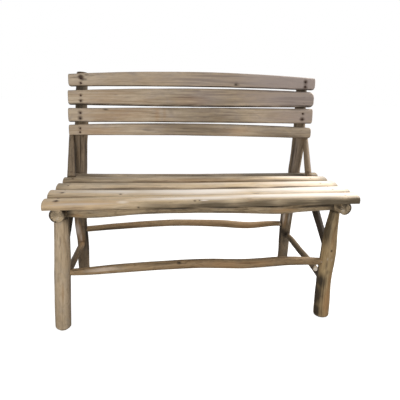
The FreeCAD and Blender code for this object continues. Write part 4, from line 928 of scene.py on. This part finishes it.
# Partly painted light: the big bleached patches along the crowns of slats 1 to 4, strongest to the right, are a
# painted highlight; the dark patches along the front slat's front face paint the shade on the face turned from the
# lamps; those along slat 3's front edge paint the shade in the slit; and the dark patches over slats 4 and 5 paint
# the shadow that the back casts on them. The small spots and the warm patches are stains and wear
SEAT_MARKS = {
    1: {
        "bleached_and_highlit": [
            (330, -236, 479, 330, 18, 1.0), (-50, -244, 474, 220, 14, 0.8), (-268, -258, 468, 22, 9, 0.55),
            (-16, -259, 469, 16, 2.5, 0.9), (-400, -262, 462, 160, 12, 0.38)],
        "warm": [(-400, -262, 460, 200, 30, 0.6), (130, -262, 467, 20, 6, 0.7)],
        "stained_and_shaded": [
            (-420, -266, 452, 100, 24, 0.42), (-490, -266, 448, 60, 16, 0.5), (-60, -266, 452, 120, 20, 0.8),
            (-290, -266, 449, 110, 18, 0.5), (-150, -266, 453, 100, 23, 0.78), (0, -266, 455, 120, 23, 0.9),
            (150, -266, 456, 120, 23, 0.88), (290, -266, 457, 110, 23, 0.92), (400, -266, 459, 100, 24, 1.0),
            (480, -266, 461, 60, 24, 1.0), (-130, -266, 455, 90, 8, 0.7), (-37, -265.5, 460, 22, 6, 0.8),
            (60, -266, 456, 110, 8, 0.7), (146, -264, 466, 14, 8, 0.75), (210, -266, 458, 120, 8, 0.7),
            (340, -266, 458, 120, 9, 0.85), (460, -265, 464, 70, 12, 0.85)],
    },
    2: {
        "bleached_and_highlit": [(380, -150, 479, 300, 34, 1.0), (-20, -150, 471, 240, 34, 1.0),
                     (-300, -150, 474, 220, 30, 0.62), (-262, -168, 473, 14, 7, 0.6)],
        "stained_and_shaded": [(498, -150, 477, 14, 60, 0.7)],
    },
    3: {
        "bleached_and_highlit": [(400, -66, 477, 230, 30, 0.74), (60, -66, 476, 200, 22, 0.5)],
        "stained_and_shaded": [(310, -103, 467, 75, 8, 1.0), (120, -103, 467, 90, 6, 0.9), (-300, -103, 467, 200, 5, 0.7),
                    (494, -66, 477, 20, 60, 0.7), (-340, -66, 474, 160, 40, 0.38), (-480, -66, 474, 40, 60, 0.6)],
    },
    4: {
        "bleached_and_highlit": [(390, 8, 477, 150, 24, 0.7)],
        "warm": [(0, -18, 472, 200, 14, 0.6)],
        "stained_and_shaded": [
            (-330, 8, 477, 260, 50, 0.5), (60, 8, 477, 260, 50, 0.55), (-430, -15, 470, 90, 20, 0.6),
            (300, -18, 472, 200, 12, 0.6), (300, 30, 476, 200, 12, 0.4), (-470, 8, 476, 40, 60, 0.65),
            (488, 8, 477, 34, 60, 0.75)],
    },
    5: {
        "stained_and_shaded": [(0, 75, 475, 460, 80, 0.72), (-400, 75, 477, 160, 60, 0.75), (320, 75, 477, 240, 90, 1.0)],
        "blackened_and_shaded": [(400, 75, 477, 150, 80, 0.5)],
    },
}
# The edges of all but the front slat are darkened, partly by bark and partly as painted shade in the slits between
# slats; the front slat is scraped clean
for number, (ends, front, rear, under, crown) in SEAT_SLATS.items():
    board = slat(f"seat_board_{number}", seat_section, ends, (front,) * 3, (rear,) * 3, under, crown, seat_wood,
                 seed=60 + number * 2.3, dark_edge=1.05 if number == 1 else 0.68)
    knots(board, SEAT_KNOTS.get(number, []))
    mark(board, {"rust": rust_spots, **SEAT_MARKS[number]})
    fit(board, "seat_wood", f"seat_slat_{number}")


# Back slats
# The same split stuff, but thinner, flatter and greyer, nailed to the front of the posts. They
# bow and taper, so the slits between them close in the middle and open at the ends.

# Scraped hardwood, silvered by the weather: grey-tan, dry, and greyest towards the right end
back_wood = peeled_wood("weathered_branch_wood_of_back", "#CEBDA4", "#B8A48A", "#7A6550", "#A89C94", "#34281D",
                        roughness=0.56, mottled=0.15)
back_section = split_section("back_section", shoulder=0.4, fullness=4.5)
# The back leans 45 mm back over 408 mm of height, and is measured from this line along its foot
RECLINE = math.atan(45 / 408)
BACK_FOOT = (0, 111.38, 430)


def up_the_back(*heights):
    """Heights above the floor as lengths up the leaning back."""
    return [(height - BACK_FOOT[2]) / math.cos(RECLINE) for height in heights]


# Each slat's ends, lower edge, upper edge, thickness, and lower and upper corners
BACK_SLATS = {
    1: ((-469.5, 472), up_the_back(788, 798, 796), up_the_back(832, 852, 841), 18, (9, 0, 12), (3, 0, 4)),
    2: ((-473.5, 471), up_the_back(723, 724, 731), up_the_back(774, 792, 789), 17, (8, 0, 16), (3, 0, 20)),
    3: ((-475.5, 469.5), up_the_back(661, 665, 667), up_the_back(711, 721, 725), 17, (7, 0, 7), (4, 0, 5)),
    4: ((-475.5, 467.5), up_the_back(612, 615.5, 608.5), up_the_back(651, 662, 651), 15, (4, 0, 12), (4, 0, 10)),
}
# How wide and how strong the painted shade is along each lower edge, and how strong the darker band
# is along the right part of each upper edge
BACK_RIMS = {1: (4, 0.75, 0), 2: (7, 0.9, 0.48), 3: (4, 0.75, 0.56), 4: (3, 0.6, 0.58)}
BACK_KNOTS = {1: [(151, 136, 812, 4)]}
# The long thin dark line along slat 1's lower edge, at 800 mm, is painted shade as well
BACK_MARKS = {
    1: {
        "silvered": [(420, 136, 820, 360, 60, 1.0), (60, 136, 820, 200, 40, 0.6)],
        "stained_and_shaded": [(-427, 136, 826, 10, 7, 1.0), (-418, 136, 816, 9, 6, 0.9), (-409, 136, 812, 9, 4, 0.8),
                    (154, 136, 811, 18, 8, 0.65), (100, 135, 800, 300, 5, 0.6), (60, 136, 822, 260, 60, 0.34)],
    },
    2: {
        "warm": [(-24, 130, 752, 100, 22, 0.6), (-200, 130, 750, 60, 22, 0.4), (-360, 130, 750, 160, 40, 0.42)],
        "silvered": [(400, 130, 760, 260, 60, 0.85), (30, 130, 762, 110, 40, 0.7)],
        "stained_and_shaded": [(262, 130, 764, 22, 16, 0.35), (20, 129, 752, 300, 60, 0.46), (420, 129, 752, 200, 60, 0.34)],
    },
    3: {
        "warm": [(-300, 123, 690, 200, 40, 0.42), (-148, 123, 690, 14, 50, 0.55), (-122, 123, 690, 9, 50, 0.5),
                 (330, 123, 694, 150, 20, 0.35)],
        "silvered": [(420, 123, 700, 200, 50, 0.7), (-96, 123, 698, 22, 20, 0.5)],
        "stained_and_shaded": [(-96, 123, 701, 20, 18, 0.5), (-86, 123, 690, 12, 8, 0.45), (40, 122, 690, 240, 50, 0.55),
                    (300, 122, 700, 60, 20, 0.35), (-340, 123, 712, 12, 4, 0.9)],
    },
    4: {
        "warm": [(170, 119, 637, 90, 20, 0.52), (-360, 119, 630, 110, 20, 0.5)],
        "stained_and_shaded": [(0, 118, 640, 200, 34, 0.62), (-180, 119, 640, 40, 12, 0.5), (340, 118, 632, 180, 40, 0.58),
                    (0, 118, 660, 420, 4, 0.7)],
    },
}


def edge_spots(first, edge, thick, reach, strength, step=80, last=440, slat_end=470):
    """Spots along an edge of a back slat, a step apart and as long, from the first place to the last."""
    foot_y, foot_z = 111, 431
    places = range(first, last + 1, step)
    return [(x, foot_y - thick + math.tan(RECLINE) * up, foot_z + math.cos(RECLINE) * up, step, reach, strength)
            for x, up in zip(places, np.interp(places, (-slat_end, 0, slat_end), edge))]


for number, (ends, low, high, thick, low_corners, high_corners) in BACK_SLATS.items():
    board = slat(f"back_board_{number}", back_section, ends, low, high, (0, 0, 0), (thick,) * 3, back_wood,
                 seed=80 + number * 3.1, low_corners=low_corners, high_corners=high_corners,
                 turn=math.pi / 2 - RECLINE, hang=BACK_FOOT, lump=1, wander=1.8)
    knots(board, BACK_KNOTS.get(number, []))
    reach, strength, upper = BACK_RIMS[number]
    # Painted shade along each lower edge, and a darker band along the right part of each upper edge
    blackened_and_shaded = edge_spots(-440, low, thick, reach, strength)
    BACK_MARKS[number]["stained_and_shaded"] += edge_spots(-100, high, thick, 8, upper)
    mark(board, {"rust": rust_spots, "blackened_and_shaded": blackened_and_shaded, **BACK_MARKS[number]})
    fit(board, "back_wood", f"back_slat_{number}")


# Nails
# Round wire nails with flat heads, rusted brown, two through each end of a slat and one through
# each end of a brace. The rusted ones stand out a little, and the clean ones are driven just below
# the wood.

# Drawn steel wire that has rusted through: brown, rough and pitted, with hardly a shine. The grains
# of rust are drawn 1.5 mm wide, because true ones would be too fine to show.
rust = bpy.data.materials.new("rusted_nail_steel")
tree = emptied(rust)
place = add(tree, "ShaderNodeTexCoord", out="Object")
grains = add(tree, "ShaderNodeTexNoise", {"Vector": place, "Scale": 1 / (1.5 * MM), "Detail": 4}, out="Fac")
scale = add(tree, "ShaderNodeMapRange", (grains, 0.35, 0.65))
tint = add(tree, "ShaderNodeMix", {0: scale, 6: colour("#4A3526"), 7: colour("#75543B")}, out=2, data_type="RGBA")
soaked = add(tree, "ShaderNodeAttribute", out="Fac", attribute_name="soaked")
tint = add(tree, "ShaderNodeMix", {0: soaked, 6: tint, 7: colour("#35241A")}, out=2, data_type="RGBA")
pits = add(tree, "ShaderNodeBump", {"Height": grains, "Distance": 0.3 * MM, "Strength": 0.7})
steel = add(tree, "ShaderNodeBsdfPrincipled", {
    "Base Color": tint, "Metallic": 0.35, "Roughness": 0.7, "Normal": pits})
add(tree, "ShaderNodeOutputMaterial", {"Surface": steel}, out=None)

tree, asked, nail_inputs = open_tree("wire_nail", (
    ("Geometry", "Geometry"), ("Head radius", "Float"), ("Head height", "Float"), ("Shank radius", "Float"),
    ("Shank length", "Float"), ("Tilt", "Float"), ("Seed", "Int"), ("Material", "Material")))
head = add(tree, "GeometryNodeMeshCylinder", {
    "Vertices": 24, "Side Segments": 2, "Fill Segments": 3, "Radius": asked["Head radius"],
    "Depth": asked["Head height"]})
drop = add(tree, "ShaderNodeMath", (asked["Head height"], -0.5), operation="MULTIPLY")
drop_head = add(tree, "ShaderNodeCombineXYZ", {2: drop})
head = add(tree, "GeometryNodeTransform", {"Geometry": head, "Translation": drop_head})
point = add(tree, "ShaderNodeMath", (asked["Shank radius"], 0.15), operation="MULTIPLY")
shank = add(tree, "GeometryNodeMeshCone", {
    "Vertices": 12, "Radius Top": asked["Shank radius"], "Radius Bottom": point, "Depth": asked["Shank length"]})
drop = add(tree, "ShaderNodeMath", (drop, asked["Shank length"]), operation="SUBTRACT")
drop_shank = add(tree, "ShaderNodeCombineXYZ", {2: drop})
shank = add(tree, "GeometryNodeTransform", {"Geometry": shank, "Translation": drop_shank})
nail = add(tree, "GeometryNodeJoinGeometry", (head,), out=None)
tree.links.new(shank, nail.inputs[0])
outward = add(tree, "GeometryNodeInputNamedAttribute", {"Name": "outward"}, data_type="FLOAT_VECTOR")
least = add(tree, "ShaderNodeVectorMath", {0: (-1, -1, -1), "Scale": asked["Tilt"]}, operation="SCALE")
most = add(tree, "ShaderNodeVectorMath", {0: (1, 1, 1), "Scale": asked["Tilt"]}, operation="SCALE")
skew = add(tree, "FunctionNodeRandomValue", {"Min": least, "Max": most, "Seed": asked["Seed"]},
           data_type="FLOAT_VECTOR")
aim = add(tree, "ShaderNodeVectorMath", (outward, skew), operation="ADD")
aim = add(tree, "FunctionNodeAlignRotationToVector", {"Vector": aim}, axis="Z")
placed = add(tree, "GeometryNodeInstanceOnPoints", {
    "Points": asked["Geometry"], "Instance": nail.outputs[0], "Rotation": aim})
nail_tree = end_tree(tree, asked, placed)

bpy.context.view_layer.update()
nailed = [bpy.data.objects[name] for name in (
    *(f"seat_board_{number}" for number in SEAT_SLATS), *(f"back_board_{number}" for number in BACK_SLATS),
    *(f"{brace}_pole" for brace in BRACES))]


# How far the wood may lie from a nail head's place in the frame, in millimetres
NAIL_PLAY = 12


def driven(head, axis, rusted):
    """A nail head's place, moved along the nail to the wood; a clean one is driven just below it."""
    outward = Vector(axis)
    start = Vector(head) + NAIL_PLAY * MM * outward
    rays = [piece.ray_cast(start, -outward, distance=2 * NAIL_PLAY * MM) for piece in nailed]
    hits = [hit for found, hit, _, _ in rays if found]
    return min(hits, key=lambda hit: (hit - start).length, default=Vector(head)) + (rusted - 0.5) * MM * outward


for seed, (node, nails) in enumerate(NAILS.items(), start=1):
    places = bpy.data.meshes.new(f"{node}_places")
    places.from_pydata([driven(*nail, rusted) for nail, rusted in zip(nails, NAIL_RUST[node])], [], [])
    places.attributes.new("outward", "FLOAT_VECTOR", "POINT").data.foreach_set(
        "vector", [value for _, axis in nails for value in axis])
    places.attributes.new("soaked", "FLOAT", "POINT").data.foreach_set("value", NAIL_RUST[node])
    group = grown(nail_tree, nail_inputs, places, f"wire_{node}", {
        "Head radius": 4 * MM, "Head height": 1.5 * MM, "Shank radius": 1.7 * MM, "Shank length": 45 * MM,
        "Tilt": 0.05, "Seed": seed, "Material": rust})
    fit(group, "nail_steel", node)

for shape in (seat_section, back_section):
    bpy.data.objects.remove(shape)
